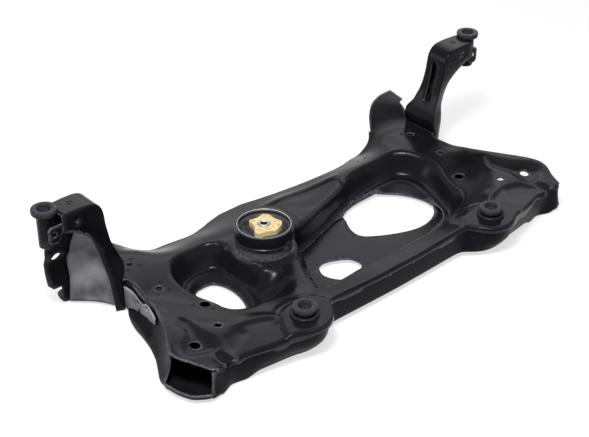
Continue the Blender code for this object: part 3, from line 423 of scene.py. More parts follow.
def lower_edges():
    """The outer wall, as even points along its top and along its foot."""
    table = LOWER_RIGHT + LOWER_FRONT + [(-a, b, -c, d) for a, b, c, d in reversed(LOWER_RIGHT)][:-1]
    rows = np.array(table, dtype=float)
    tops, feet = [], []
    for k in range(len(rows)):
        n = (k + 1) % len(rows)
        pieces = max(1, round(np.linalg.norm(rows[n, 2:] - rows[k, 2:]) / WALL_STEP))
        for i in range(pieces):
            share = i / pieces
            tops.append(rows[k, :2] + (rows[n, :2] - rows[k, :2]) * share)
            feet.append(rows[k, 2:] + (rows[n, 2:] - rows[k, 2:]) * share)
    tops, feet = soften(np.array(tops)), soften(np.array(feet))
    feet[:, 0] -= MOUTH_NOTCH * smooth((feet[:, 0] - 290) / 20) * smooth(1.2 - np.abs(feet[:, 1] + 74) / 36)
    feet[:, 0] -= 5.0 * smooth((feet[:, 0] - 330) / 20) * smooth((-feet[:, 1] - 120) / 30)
    feet[:, 0] -= 6.0 * smooth((feet[:, 0] - 352) / 12) * smooth((-feet[:, 1] - 168) / 12)
    return tops, feet


def soften(loop, times=2):
    """Rounds the corners of an even loop a little."""
    for _ in range(times):
        loop = 0.5 * loop + 0.25 * (np.roll(loop, 1, axis=0) + np.roll(loop, -1, axis=0))
    return loop


RIGHT_WINDOW = curve_through(WINDOW_RIGHT, 5.0)
MIDDLE_WINDOW = curve_through(WINDOW_MIDDLE, 5.0)
BASIN_LEDGE = curve_through(BASIN_FOOT, 5.0)


# Upper shell
# One deep-drawn stamping of 2.5 mm steel: deck, drawn basin on the left, large opening on the right whose
# walls go down to the lower shell, rear sleeve pads, lobes with their dished bolt seats and stiffening forms.
OUTLINE_REAR = [(0, -190), (60, -190), (118, -188), (142, -191), (152, -207), (164, -221), (182, -228.4),
                (200, -227), (216, -219), (240, -212), (268, -205), (296, -197)]
OUTLINE_NOTCH = [(312, -199), (322, -190), (332, -197)]
OUTLINE_LOBE = [(349, -197), (359, -174), (371, -152), (373, -136), (365, -119), (355, -104), (344, -84),
                (335, -60), (329, -36), (326, -11), (318, 12), (313, 30)]
OUTLINE_TOWER_SEAT = [(312, 42), (321, 46), (321, 106)]
OUTLINE_FLAP = [(334, 129), (339, 146), (350, 150), (352, 182), (326, 182), (303, 177), (283, 163),
                (268, 146), (256, 131), (243, 122), (222, 117), (196, 111), (160, 97)]
OUTLINE_FRONT_RIGHT = [(120, 92), (60, 96), (0, 106)]
OUTLINE_FRONT_LEFT = [(-38, 119), (-81, 120), (-108, 112), (-131, 103)]
# On the left the edge stands back over the gusset
GUSSET_EDGE = {(329, -36): 324, (326, -11): 317, (318, 12): 311, (313, 30): 310}
RIGHT_SIDE = OUTLINE_REAR + OUTLINE_NOTCH + OUTLINE_LOBE + OUTLINE_TOWER_SEAT + OUTLINE_FLAP
SHARP_POINTS = {(118, -188), (312, -199), (322, -190), (332, -197), (349, -197), (313, 30), (312, 42),
                (321, 46), (321, 106), (334, 129), (339, 146), (350, 150), (352, 182), (326, 182),
                (-38, 119), (-81, 120)}
DECK_HEIGHTS = [(0, -190, 9), (80, -188, 10), (139, -188, 12), (188, -194, 12), (240, -206, 9),
                (300, -200, 5), (323, -192, 4), (349, -196, 5.5), (368, -158, 7.5), (372, -136, 10),
                (356, -105, 13), (341, -77, 12), (331, -46, 8), (327, -25, 4), (326, 0, 0), (320, 30, 4),
                (288, 0, 0), (288, 70, 4.8), (259, -67, -4.8), (286, -129, 8), (333, -139, 9),
                (320, 100, 5.5), (313, 117, 6), (336, 138, 17), (350, 165, 21), (327, 180, 22),
                (300, 165, 14), (268, 144, -3), (243, 120, -15), (217, 112, -24), (190, 106, -21),
                (222, 62, 0), (262, -10, -1), (243, -56, -4), (227, -105, -1), (208, -127, 2),
                (140, -152, 2), (30, -162, 5), (0, 60, 0), (50, 40, 0), (104, 50, 0), (150, 60, -1),
                (110, -19, 3), (60, 96, -14), (0, 100, -14), (140, 92, -14), (255, 100, 0)]
BASIN_RIM = [(-262, -17), (-260, 8), (-251, 30), (-236, 45), (-217, 51), (-191, 51), (-166, 46), (-150, 22),
             (-155, -6), (-154, -34), (-143, -54), (-124, -66), (-116, -88), (-134, -122), (-160, -133),
             (-184, -128), (-206, -122), (-229, -117), (-245, -99), (-248, -70), (-258, -44)]
BASIN_WINDOW = [(-229, -16), (-224, 0), (-207, 5), (-191, 2), (-183, -14), (-182, -44), (-192, -74),
                (-205, -84), (-219, -78), (-227, -52)]
OPENING_RIM = [(-62, -10), (-46, -11), (-3, -2), (46, 16), (86, 31), (106, 43), (124, 53), (149, 58),
               (171, 60), (203, 61), (222, 59), (238, 49), (251, 31), (261, 9), (263, -10), (258, -30),
               (244, -56), (234, -80), (227, -105), (208, -127), (174, -141), (139, -151), (110, -160),
               (30, -163), (-42, -159), (-82, -162), (-114, -161), (-127, -146), (-118, -123), (-102, -92),
               (-85, -61), (-68, -44), (-63, -30)]
OPENING_FOOT = [(-50, -25), (-30, -19), (8, -7), (52, 8), (100, 25), (144, 29), (192, 33), (214, 29),
                (226, 16), (230, -6), (227, -27), (218, -54), (209, -76), (200, -96), (184, -112),
                (158, -122), (120, -130), (60, -132), (-20, -132), (-84, -130), (-94, -116), (-78, -73),
                (-60, -45)]
FLANGE_TOP = FLOOR_TOP + SHELL_SHEET + 2 * FIT_GAP
FLANGE_WIDTH = 6.0
WINDOW_LIP_DROP = 8.0
WINDOW_CUT_BACK = 0.75
RING_R = 43.2
COLLAR_R = RING_R - 3.2
DOME_TOP = 4.5
DOME_R = COLLAR_R + 6.0
DOME_EDGE = 7.0
DOME_CLEARANCE = 2.0
DECK_BOLTS = {"front": (288, 70, 10.5), "middle": (288, 0, 10.5), "rear": (259, -67, 15.0)}
LOBE_HOLE_SMALL = (286, -129, 11.0)
LOBE_HOLE_LARGE = (333, -139, 14.5)
EDGE_HOLES = [(175, 79, 5.0), (195, 81, 4.0)]
REAR_TUBE_R = 14.0
SHELL_GRID = 3.6
WALL_ROWS = 13
WALL_SPACING = 1.9


def clear_of_dome(loop):
    """The loop kept outside the dome round the bush."""
    out = loop - np.array(BUSH_XY)
    radius = np.linalg.norm(out, axis=1)[:, None]
    return np.array(BUSH_XY) + out / radius * np.maximum(radius, DOME_R + DOME_CLEARANCE)


RIM_LEFT = clear_of_dome(curve_through(BASIN_RIM, 2.6))
FOOT_LEFT = curve_through(BASIN_FOOT, 4.0)
LIP_LEFT = curve_through(BASIN_WINDOW, 4.0)
RIM_RIGHT = clear_of_dome(curve_through(OPENING_RIM, 2.6))
FOOT_RIGHT = curve_through(OPENING_FOOT, 4.0)
RIGHT_WINDOW_MIDDLE = (135.0, -38.0)
FLANGE_CREST = grown(FOOT_RIGHT, -8.0)
PAD_LINE = curve_through([(135, -191), (139, -175), (149, -163), (166, -156), (192, -156), (206, -161),
                          (215, -169), (223, -182), (234, -200), (241, -240), (130, -240)], 5.0)
PAD_TOP = 13.6
PAD_GROOVE = curve_through([(211, -168), (202, -162), (190, -159), (174, -159),
                            (158, -163)], 4.0, closed=False)
PAD_RIDGE = curve_through([(224, -176), (212, -162), (193, -153), (167, -152), (150, -158),
                           (141, -166)], 4.0, closed=False)
DISH_LINE = curve_through([(312, -76), (320, -64), (326, -83), (331, -105), (338, -118), (347, -125),
                           (356, -134), (361, -149), (354, -159), (336, -168), (314, -169), (305, -150),
                           (307, -128), (305, -105), (304, -88)], 5.0)
DISH_DEPTH = 5.5
RIM_BEAD = curve_through([(323, -50), (332, -83), (341, -105), (352, -118), (364, -132), (367, -150),
                          (360, -164)], 5.0, closed=False)
PRESS_STEP = curve_through([(282, -144), (262, -149), (245, -154), (232, -159),
                            (221, -168)], 4.0, closed=False)
LOW_CORNER = curve_through([(268, -146), (262, -158), (263, -170), (281, -180), (300, -189), (313, -187),
                            (312, -170), (300, -152), (285, -147)], 4.0)
DART_LINE = np.array([(323.0, -178.0), (322.0, -199.0)])
BEAM_LIP = curve_through([(-34, 77), (-12, 75), (40, 71), (93, 68), (112, 66)], 5.0, closed=False)
BUSH_STEPS = [curve_through([(-156, -50), (-140, -52), (-126, -56), (-110, -64), (-113, -79), (-140, -75),
                             (-158, -68)], 4.0),
              curve_through([(-166, -76), (-146, -80), (-128, -84), (-118, -90), (-122, -104), (-146, -104),
                             (-168, -98)], 4.0)]


def bending(places, others):
    """How strongly each place bends a thin sheet at each other place."""
    square = np.sum((places[:, None, :] - others[None, :, :]) ** 2, axis=2)
    return 0.5 * square * np.log(square + 1e-9)


def sheet_through(heights):
    """Finds the smooth sheet through measured heights, as a thin plate bends. Returns a height function."""
    table = np.array(heights, dtype=float)
    places = table[:, :2]
    count = len(table)
    matrix = np.zeros((count + 3, count + 3))
    matrix[:count, :count] = bending(places, places)
    matrix[:count, count:] = np.column_stack([np.ones(count), places])
    matrix[count:, :count] = matrix[:count, count:].T
    weights = np.linalg.solve(matrix, np.concatenate([table[:, 2], np.zeros(3)]))

    def height(points):
        folded = np.column_stack([np.abs(points[:, 0]), points[:, 1]])
        return bending(folded, places) @ weights[:-3] + weights[-3] + folded @ weights[-2:]

    return height


def same_bearing(loop, points):
    """The loop's places on the same bearings from the right window's middle as the given points."""
    def bearing(places):
        return np.arctan2(places[:, 1] - RIGHT_WINDOW_MIDDLE[1], places[:, 0] - RIGHT_WINDOW_MIDDLE[0])

    wanted, known = bearing(points), bearing(loop)
    return np.column_stack([np.interp(wanted, known, loop[:, k], period=2 * math.pi) for k in (0, 1)])


def lip_pull(points):
    """1 where the wall's flange runs on to the right window's edge: on its front and its right."""
    edge = same_bearing(RIGHT_WINDOW, points)
    gap = np.linalg.norm(same_bearing(FLANGE_CREST, points) - edge, axis=1)
    on_front = smooth((edge[:, 1] + 82) / 22) * smooth((edge[:, 0] - 66) / 12)
    return (smooth((50 - gap) / 10) * on_front)[:, None]


deck_height = sheet_through(DECK_HEIGHTS)


def upper_height(points):
    """Height of the upper shell's top face."""
    z = deck_height(points)
    for side in (1, -1):
        flipped = points * np.array([side, 1])
        dish = np.where(inside(flipped, DISH_LINE), smooth(distance(flipped, DISH_LINE) / 13), 0)
        z = z - DISH_DEPTH * dish
        z = z + 1.6 * swell(flipped, RIM_BEAD, 15.0) * smooth((-flipped[:, 1] - 40) / 25)
        low = np.where(inside(flipped, LOW_CORNER), smooth(distance(flipped, LOW_CORNER) / 12), 0)
        z = z - 2.6 * low
        ahead = flipped[:, 1] - np.interp(flipped[:, 0], PRESS_STEP[::-1, 0], PRESS_STEP[::-1, 1])
        fade = smooth((288 - flipped[:, 0]) / 50) * smooth((flipped[:, 0] - 212) / 12)
        z = z + 4.0 * smooth((ahead + 3) / 6) * smooth((26 - ahead) / 24) * fade
        pad = np.where(inside(flipped, PAD_LINE), smooth(distance(flipped, PAD_LINE) / 7), 0)
        z = z + (PAD_TOP - z) * pad
        z = z + 2.4 * swell(flipped, PAD_RIDGE, 12.0) - 3.2 * swell(flipped, PAD_GROOVE, 8.0)
        z = z - 6.5 * swell(flipped, DART_LINE, 12.0) + 2.4 * swell(flipped, DART_LINE + [9, 0], 9.0)
        z = z + 1.6 * swell(flipped, DART_LINE - [9, 0], 9.0)
    behind = np.interp(points[:, 0], BEAM_LIP[:, 0], BEAM_LIP[:, 1]) - points[:, 1]
    along = smooth((points[:, 0] + 42) / 26) * smooth((110 - points[:, 0]) / 9)
    along = along * smooth((points[:, 1] + 30) / 20)
    z = z - 4.5 * smooth((behind - 1) / 9) * along + 1.8 * swell(points, BEAM_LIP, 11.0)
    radius = np.linalg.norm(points - np.array(BUSH_XY), axis=1)
    z = z + (DOME_TOP - z) * smooth((DOME_R + DOME_EDGE - radius) / DOME_EDGE)
    down = smooth(between(points, RIM_LEFT, FOOT_LEFT) * 1.2 - 0.08)
    z = z + (FLANGE_TOP - z) * down
    for line, rise in zip(BUSH_STEPS, (6.0, 5.0)):
        raised = np.where(inside(points, line), smooth(distance(points, line) / 11), 0)
        z = z + rise * raised * smooth(down * 6) * smooth((1 - down) * 6)
    lip = between(points, grown(FOOT_LEFT, -FLANGE_WIDTH), LIP_LEFT)
    z = z - WINDOW_LIP_DROP * lip + 1.5 * swell(points, grown(FOOT_LEFT, -4.0), 9.0, True)
    share = between(points, RIM_RIGHT, FOOT_RIGHT)
    plain = smooth(share * 1.25 - 0.08)
    stepped = 0.42 * smooth(share / 0.36) + 0.58 * smooth((share - 0.5) / 0.45)
    ledge = smooth((118 - points[:, 0]) / 30) * smooth((points[:, 1] + 150) / 20)
    down = plain + (stepped - plain) * ledge
    z = z + (FLANGE_TOP - z) * down
    by_window = smooth((points[:, 0] - 64) / 24)
    z = z + 2.6 * swell(points, FLANGE_CREST, 14.0, True) * by_window
    return z - 5.0 * smooth(between(points, FLANGE_CREST, RIGHT_WINDOW)) * by_window


def shell_outline(step):
    """The upper shell's whole outline, counter-clockwise from the rear middle."""
    other = [(-GUSSET_EDGE.get((x, y), x), y) for x, y in reversed(RIGHT_SIDE)][:-1]
    points = RIGHT_SIDE + OUTLINE_FRONT_RIGHT + OUTLINE_FRONT_LEFT + other
    corners = {i for i, p in enumerate(points) if p in SHARP_POINTS or (-p[0], p[1]) in SHARP_POINTS}
    return curve_through(points, step, corners=corners)


def skirt_depth(points):
    """How far the turned-down edge hangs over the lower shell's wall."""
    x = np.abs(points[:, 0])
    rear = np.interp(x, [0, 22, 24, 26, 76, 80, 116, 122, 146, 200, 214, 250, 262, 300, 330],
                     [8, 8, 10.5, 8, 8, 12, 12, 9, 9, 9, 14, 15, 9, 8, 7])
    return np.where(points[:, 1] < 0, rear, 6.0)


def add_skirts(bm, ring, outline, wanted, radius=3.0):
    """Turns down each unbroken run of wanted edge, running out at its ends."""
    normals = outward(outline)
    depth = skirt_depth(outline)
    for run in runs_of(wanted):
        verts = [ring[k] for k in run]
        base = (np.array([list(v.co) for v in verts]) - DATUM) / MM
        share = np.array([min(1.0, 0.4 + 0.12 * min(i, len(run) - 1 - i)) for i in range(len(run))])
        rows = []
        for out, down in ((0.38, 0.1), (0.7, 0.32), (0.92, 0.64), (1.0, 1.0), (1.0, 1.6)):
            row = base.copy()
            row[:, :2] += normals[run] * radius * out
            row[:, 2] -= radius * down
            rows.append(row)
        row = base.copy()
        row[:, :2] += normals[run] * radius
        row[:, 2] -= np.maximum(radius * 1.9, depth[run] * share)
        turn_edge(bm, verts, rows + [row])


bm = bmesh.new()
upper_outline = shell_outline(4.0)
flange_edge = grown(FOOT_RIGHT, -FLANGE_WIDTH)
flange_edge = flange_edge + (same_bearing(RIGHT_WINDOW, flange_edge) - flange_edge) * lip_pull(flange_edge)
upper_holes = [flange_edge, LIP_LEFT, circle(*BUSH_XY, 2 * (COLLAR_R + FIT_GAP), 72)]
for side in (1, -1):
    for x, y, hole in DECK_BOLTS.values():
        upper_holes.append(circle(side * x, y, hole, 20))
    upper_holes.append(circle(side * LOBE_HOLE_SMALL[0], *LOBE_HOLE_SMALL[1:], 20))
    upper_holes.append(circle(side * LOBE_HOLE_LARGE[0], *LOBE_HOLE_LARGE[1:], 24))
    upper_holes.append(circle(side * REAR_SLEEVE_XY[0], REAR_SLEEVE_XY[1], 2 * (REAR_TUBE_R + FIT_GAP), 32))
upper_holes += [circle(*hole, 12) for hole in EDGE_HOLES]
wall_lines = []
for rim, foot in ((RIM_RIGHT, FOOT_RIGHT), (RIM_LEFT, FOOT_LEFT)):
    nearest = foot[np.argmin(np.sum((rim[:, None, :] - foot[None, :, :]) ** 2, axis=2), axis=1)]
    wall_lines += [(rim + (nearest - rim) * share, WALL_SPACING) for share in np.linspace(0, 1, WALL_ROWS)]
rings = cut_sheet(bm, upper_outline, upper_holes, wall_lines,
                  lambda plan: np.column_stack([plan, upper_height(plan)]), SHELL_GRID)
for _ in range(2):
    bmesh.ops.smooth_vert(bm, verts=[v for v in bm.verts if not v.is_boundary], factor=0.5, use_axis_x=True,
                          use_axis_y=True, use_axis_z=True)
add_skirts(bm, rings[0], upper_outline, (upper_outline[:, 1] < -186) & (np.abs(upper_outline[:, 0]) < 345))
add_skirts(bm, rings[0], upper_outline, (upper_outline[:, 1] > 90) & (np.abs(upper_outline[:, 0]) < 262))
pressed("upper_pressing", bm, SHELL_SHEET, ["upper_shell"])

bm = bmesh.new()
wall_top, wall_foot = lower_edges()
floor_outline = grown(wall_foot, -WALL_RADIUS)
to_crest = same_bearing(FLANGE_CREST, RIGHT_WINDOW) - RIGHT_WINDOW
floor_window = RIGHT_WINDOW + to_crest * WINDOW_CUT_BACK * lip_pull(RIGHT_WINDOW) ** 2
floor_holes = [floor_window, MIDDLE_WINDOW, grown(BASIN_LEDGE, 0.5)]
for side in (1, -1):
    floor_holes.append(circle(side * REAR_SLEEVE_XY[0], REAR_SLEEVE_XY[1], REAR_BORE, 24))
rings = cut_sheet(bm, floor_outline, floor_holes, [],
                  lambda plan: np.column_stack([plan, floor_height(plan)]), 5.0)
under = np.min([upper_height(grown(wall_top, d)) for d in (-2.0, 0.0, 1.5, 3.0)], axis=0)
reach = under - SHELL_SHEET * 1.25 - FIT_GAP * 4
base = floor_height(floor_outline)
sides = np.where(wall_foot[:, 0] > 0, MOUTH_START[1], MOUTH_START[-1])
ends = np.where(wall_foot[:, 0] > 0, MOUTH_END[1], MOUTH_END[-1])
outer = np.where((wall_foot[:, 0] > 0) & (wall_foot[:, 1] > -115), 306, 340)
outer = np.where(wall_foot[:, 0] > 0, outer, 357)
has_wall = ~((np.abs(wall_foot[:, 0]) > outer) & (wall_foot[:, 1] < sides) & (wall_foot[:, 1] > ends))
low_rims = [[run[0] - 1] + run + [(run[-1] + 1) % len(has_wall)] for run in runs_of(~has_wall)]
for run in runs_of(has_wall) + low_rims:
    inner, foot, top = floor_outline[run], wall_foot[run], wall_top[run]
    rows = []
    for out, up in ((0.38, 0.08), (0.71, 0.29), (0.92, 0.62), (1.0, 1.0)):
        rows.append(np.column_stack([inner + (foot - inner) * out, base[run] + WALL_RADIUS * up]))
    if run in low_rims:
        rows.append(np.column_stack([foot, base[run] + WALL_RADIUS + MOUTH_RIM]))
    else:
        for part in (0.15, 0.3, 0.5, 0.75, 1.0):
            height = base[run] + WALL_RADIUS * (1 - part) + (reach[run] - base[run]) * part
            rows.append(np.column_stack([foot + (top - foot) * (1 - (1 - part) ** 3), height]))
    turn_edge(bm, [rings[0][k] for k in run], rows)
bm.normal_update()
# Steep faces take the second coat, whose darker colour is painted shade on the walls
for face in bm.faces:
    face.material_index = 1 if abs(face.normal.z) < WALL_SLOPE else 0
lower_piece = pressed("lower_pressing", bm, SHELL_SHEET, ["lower_shell"])
lower_piece.data.materials.append(SHADED_WALL_COAT)


# Deck nuts
# Round weld nuts sit under the deck's front and middle holes. Their projection welds leave small rings of
# raised metal round each hole on the deck's top side; the nuts themselves stay as their plated solids.
def steel_material(name, colour, rough):
    """Zinc-plated turned steel: cool grey, with fine turning lines and a slightly uneven sheen."""
    material, tree, shader = new_material(name)
    place = add_node(tree, "ShaderNodeTexCoord").outputs["Object"]
    lines, cloud = [
        add_node(tree, "ShaderNodeTexNoise", {"Vector": place, "Scale": scale, "Detail": 3.0}).outputs["Fac"]
        for scale in (900.0, 120.0)]
    shade = add_node(tree, "ShaderNodeMix", {"Factor": cloud, 6: srgb(colour), 7: srgb("#989ea3")},
                     data_type='RGBA')
    tree.links.new(shade.outputs[2], shader.inputs["Base Color"])
    dull = add_node(tree, "ShaderNodeMapRange", {"Value": lines, 3: rough, 4: rough + 0.2}).outputs[0]
    tree.links.new(dull, shader.inputs["Roughness"])
    bump = add_node(tree, "ShaderNodeBump", {"Height": lines, "Strength": 0.12, "Distance": 0.0002})
    tree.links.new(bump.outputs["Normal"], shader.inputs["Normal"])
    shader.inputs["Metallic"].default_value = 1.0
    return material


def weld_bead(mesh, path, radius, closed=False, seed=1, ripple=0.16, pitch=2.2):
    """A rippled round bead laid along a path on the drawing."""
    rng = random.Random(seed)
    path = np.asarray(path, dtype=float)
    count = len(path)
    travel = 0.0
    rings = []
    for k in range(count):
        before = path[k - 1] if closed or k > 0 else path[k]
        after = path[(k + 1) % count] if closed or k < count - 1 else path[k]
        along = Vector(after - before).normalized()
        across = along.cross(Vector((0, 0, 1))).normalized()
        up = across.cross(along).normalized()
        if k:
            travel += float(np.linalg.norm(path[k] - path[k - 1]))
        size = radius * (1 + ripple * math.sin(2 * math.pi * travel / pitch) + rng.uniform(-0.07, 0.07))
        if not closed:
            size *= min(1.0, 0.35 + 0.3 * min(k, count - 1 - k))
        ring = []
        for turn in np.linspace(0, 2 * math.pi, 8, endpoint=False):
            place = Vector(path[k]) + across * (size * math.cos(turn)) + up * (size * 0.8 * math.sin(turn))
            ring.append(mesh.verts.new(Vector(framed(list(place)))))
        rings.append(ring)
    for a, b in list(zip(rings, rings[1:])) + ([(rings[-1], rings[0])] if closed else []):
        for k in range(8):
            mesh.faces.new((a[k], a[(k + 1) % 8], b[(k + 1) % 8], b[k]))
    if not closed:
        mesh.faces.new(list(reversed(rings[0])))
        mesh.faces.new(rings[-1])


PLATED_STEEL = steel_material("zinc plated steel", "#848b90", 0.3)
for node in ("left_front_weld_nut", "left_middle_weld_nut", "right_front_weld_nut", "right_middle_weld_nut"):
    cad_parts[node].material_slots[0].material = PLATED_STEEL
MARK_REACH = 14.5
MARK_R = 2.1
MARK_TUBE = 0.75
bm = bmesh.new()
for side in (1, -1):
    for place, count in (("front", 4), ("middle", 4), ("rear", 3)):
        x, y, hole = DECK_BOLTS[place]
        for k in range(count):
            turn = math.pi * (0.25 + k / 2) if count == 4 else math.pi * (0.15 + k * 2 / 3)
            reach_out = MARK_REACH + (2.5 if count == 3 else 0.0)
            mark = np.array([[side * (x + reach_out * math.cos(turn)), y + reach_out * math.sin(turn)]])
            loop = circle(mark[0, 0], mark[0, 1], 2 * MARK_R, 16)
            weld_bead(bm, np.column_stack([loop, upper_height(loop)]), MARK_TUBE, closed=True, ripple=0.0)
fitted("nut_weld_marks", bm, BLACK_COAT, crease=80.0)


# Rear sleeves
# Two turned steel sleeves stand through both shells on the rear pads. Each has a flanged head that the car's
# floor sits on, and is welded to the pad with a rippled fillet bead.
def turned(profile, centre, segments=48):
    """A mesh turned round a vertical axis from a closed profile of radius and height."""
    mesh = bmesh.new()
    ring = [mesh.verts.new((r * MM, 0, z * MM)) for r, z in profile]
    edges = [mesh.edges.new((ring[k], ring[(k + 1) % len(ring)])) for k in range(len(ring))]
    bmesh.ops.spin(mesh, geom=ring + edges, cent=(0, 0, 0), axis=(0, 0, 1), angle=2 * math.pi, steps=segments,
                   use_merge=True)
    bmesh.ops.remove_doubles(mesh, verts=mesh.verts, dist=0.01 * MM)
    bmesh.ops.recalc_face_normals(mesh, faces=mesh.faces)
    bmesh.ops.translate(mesh, verts=mesh.verts, vec=Vector(framed([centre[0], centre[1], 0])))
    return mesh


REAR_TOP = 28.0
REAR_LOW = -24.0
REAR_HEAD_R = 17.5
REAR_BORE_R = 8.8
for word, side in (("left", -1), ("right", 1)):
    centre = (side * REAR_SLEEVE_XY[0], REAR_SLEEVE_XY[1])
    seat = PAD_TOP + 0.4
    bore, head, top = REAR_BORE_R, REAR_HEAD_R, REAR_TOP
    profile = [(bore, top - 1.2), (bore + 0.4, top - 0.4), (bore + 1.2, top), (head - 1.4, top),
               (head - 0.4, top - 0.4), (head, top - 1.4), (head, top - 6), (head - 0.6, top - 7),
               (head - 2.2, top - 8), (head - 2.2, seat + 2), (head - 1, seat), (REAR_TUBE_R, seat),
               (REAR_TUBE_R, REAR_LOW), (bore, REAR_LOW)]
    mesh = turned(profile, centre)
    fitted(word + "_rear_bolt_sleeve", mesh, BLACK_COAT, [word + "_rear_sleeve"], 40)
    mesh = bmesh.new()
    around = [(centre[0] + 17.2 * math.cos(a), centre[1] + 17.2 * math.sin(a), seat + 1.2)
              for a in np.linspace(0, 2 * math.pi, 90, endpoint=False)]
    weld_bead(mesh, around, 3.2, closed=True, seed=5 + side)
    fitted(word + "_rear_sleeve_weld", mesh, WELD_COAT, crease=80.0)


# Towers
# Each tower is one 3 mm pressing folded to a channel: an inner web with a long slot that turns over into the
# top plate, and two side walls. The arm is open to the outside, where a closing plate stiffens it.
TOWER_SHEET = 3.0
TOWER_PROFILE = [(317, 9.0), (313.5, 20), (313.5, 33), (317, 44), (320, 52), (324.5, 62), (329, 75),
                 (332, 90), (335, 105), (337, 120), (340, 132), (347, 141), (357, 145), (372, 146),
                 (387, 146.2), (402, 146.2)]
NEAR_FREE_EDGE = [(402, 119), (388, 113), (376, 106), (364, 95), (356, 84), (349, 66), (344, 50), (340, 28),
                  (336, 4), (333, -20), (331, -45)]
FAR_FREE_EDGE = [(404, 120), (406, 95), (409, 81), (405, 67), (403, 45), (401, 13), (399, -3), (391, -12),
                 (376, -13), (376, -20), (384, -23), (376, -41), (362, -45), (345, -45)]
# Height, y of the near wall at its fold, how far it leans in to its free edge, and y of the far wall
TOWER_SECTIONS = [(-45, 41, 6, 114), (4, 42, 6, 110), (20, 42.5, 6, 110), (34, 44, 7, 108),
                  (42, 45.5, 8, 103), (50, 46.5, 8, 96.5), (69, 48, 7, 90.5), (84, 48, 5, 88),
                  (106, 47.5, 1, 87), (119, 46.5, 0, 87), (150, 46.5, 0, 87)]
TOWER_FAR_LEAN = [(-45, 3), (5, 4), (30, 5), (57, 11), (65, 11), (79, 7), (95, 2), (120, 0)]
TOWER_END_X = (372, 402)
TOWER_END_WAIST = 2.0
TOWER_FOOT_X = 319.0
SLOT_WIDTH = 12.8
SLOT_SPAN = (54, 121)
SLOT_Y = 69.0
TOWER_PILOT = (377, 67, 6.0)
FAR_HOLE = (385.5, 45, 15.0)
NEAR_HOLE = (380, 128, 6.0)


def tower_near_y(x, z):
    """The near side wall's place: its fold's line, and a lean towards the free edge."""
    levels, fold, lean, _ = np.array(TOWER_SECTIONS, dtype=float).T
    start = np.interp(z, [p[1] for p in TOWER_PROFILE], [p[0] for p in TOWER_PROFILE])
    free = sorted((p[1], p[0]) for p in NEAR_FREE_EDGE)
    end = np.interp(z, [p[0] for p in free], [p[1] for p in free])
    share = np.clip((x - start) / np.maximum(end - start, 12.0), 0, 1)
    return np.interp(z, levels, fold) + np.interp(z, levels, lean) * share


def tower_far_y(x, z):
    """The far side wall's place: it flares towards its foot, and closes in a little at the arm's end."""
    levels = [row[0] for row in TOWER_SECTIONS]
    flare = np.interp(z, levels, [row[3] for row in TOWER_SECTIONS])
    lean = np.interp(z, *np.array(TOWER_FAR_LEAN, dtype=float).T) * np.clip((x - 317) / 80, 0, 1)
    return flare + lean - TOWER_END_WAIST * smooth((x - TOWER_END_X[0]) / (TOWER_END_X[1] - TOWER_END_X[0]))


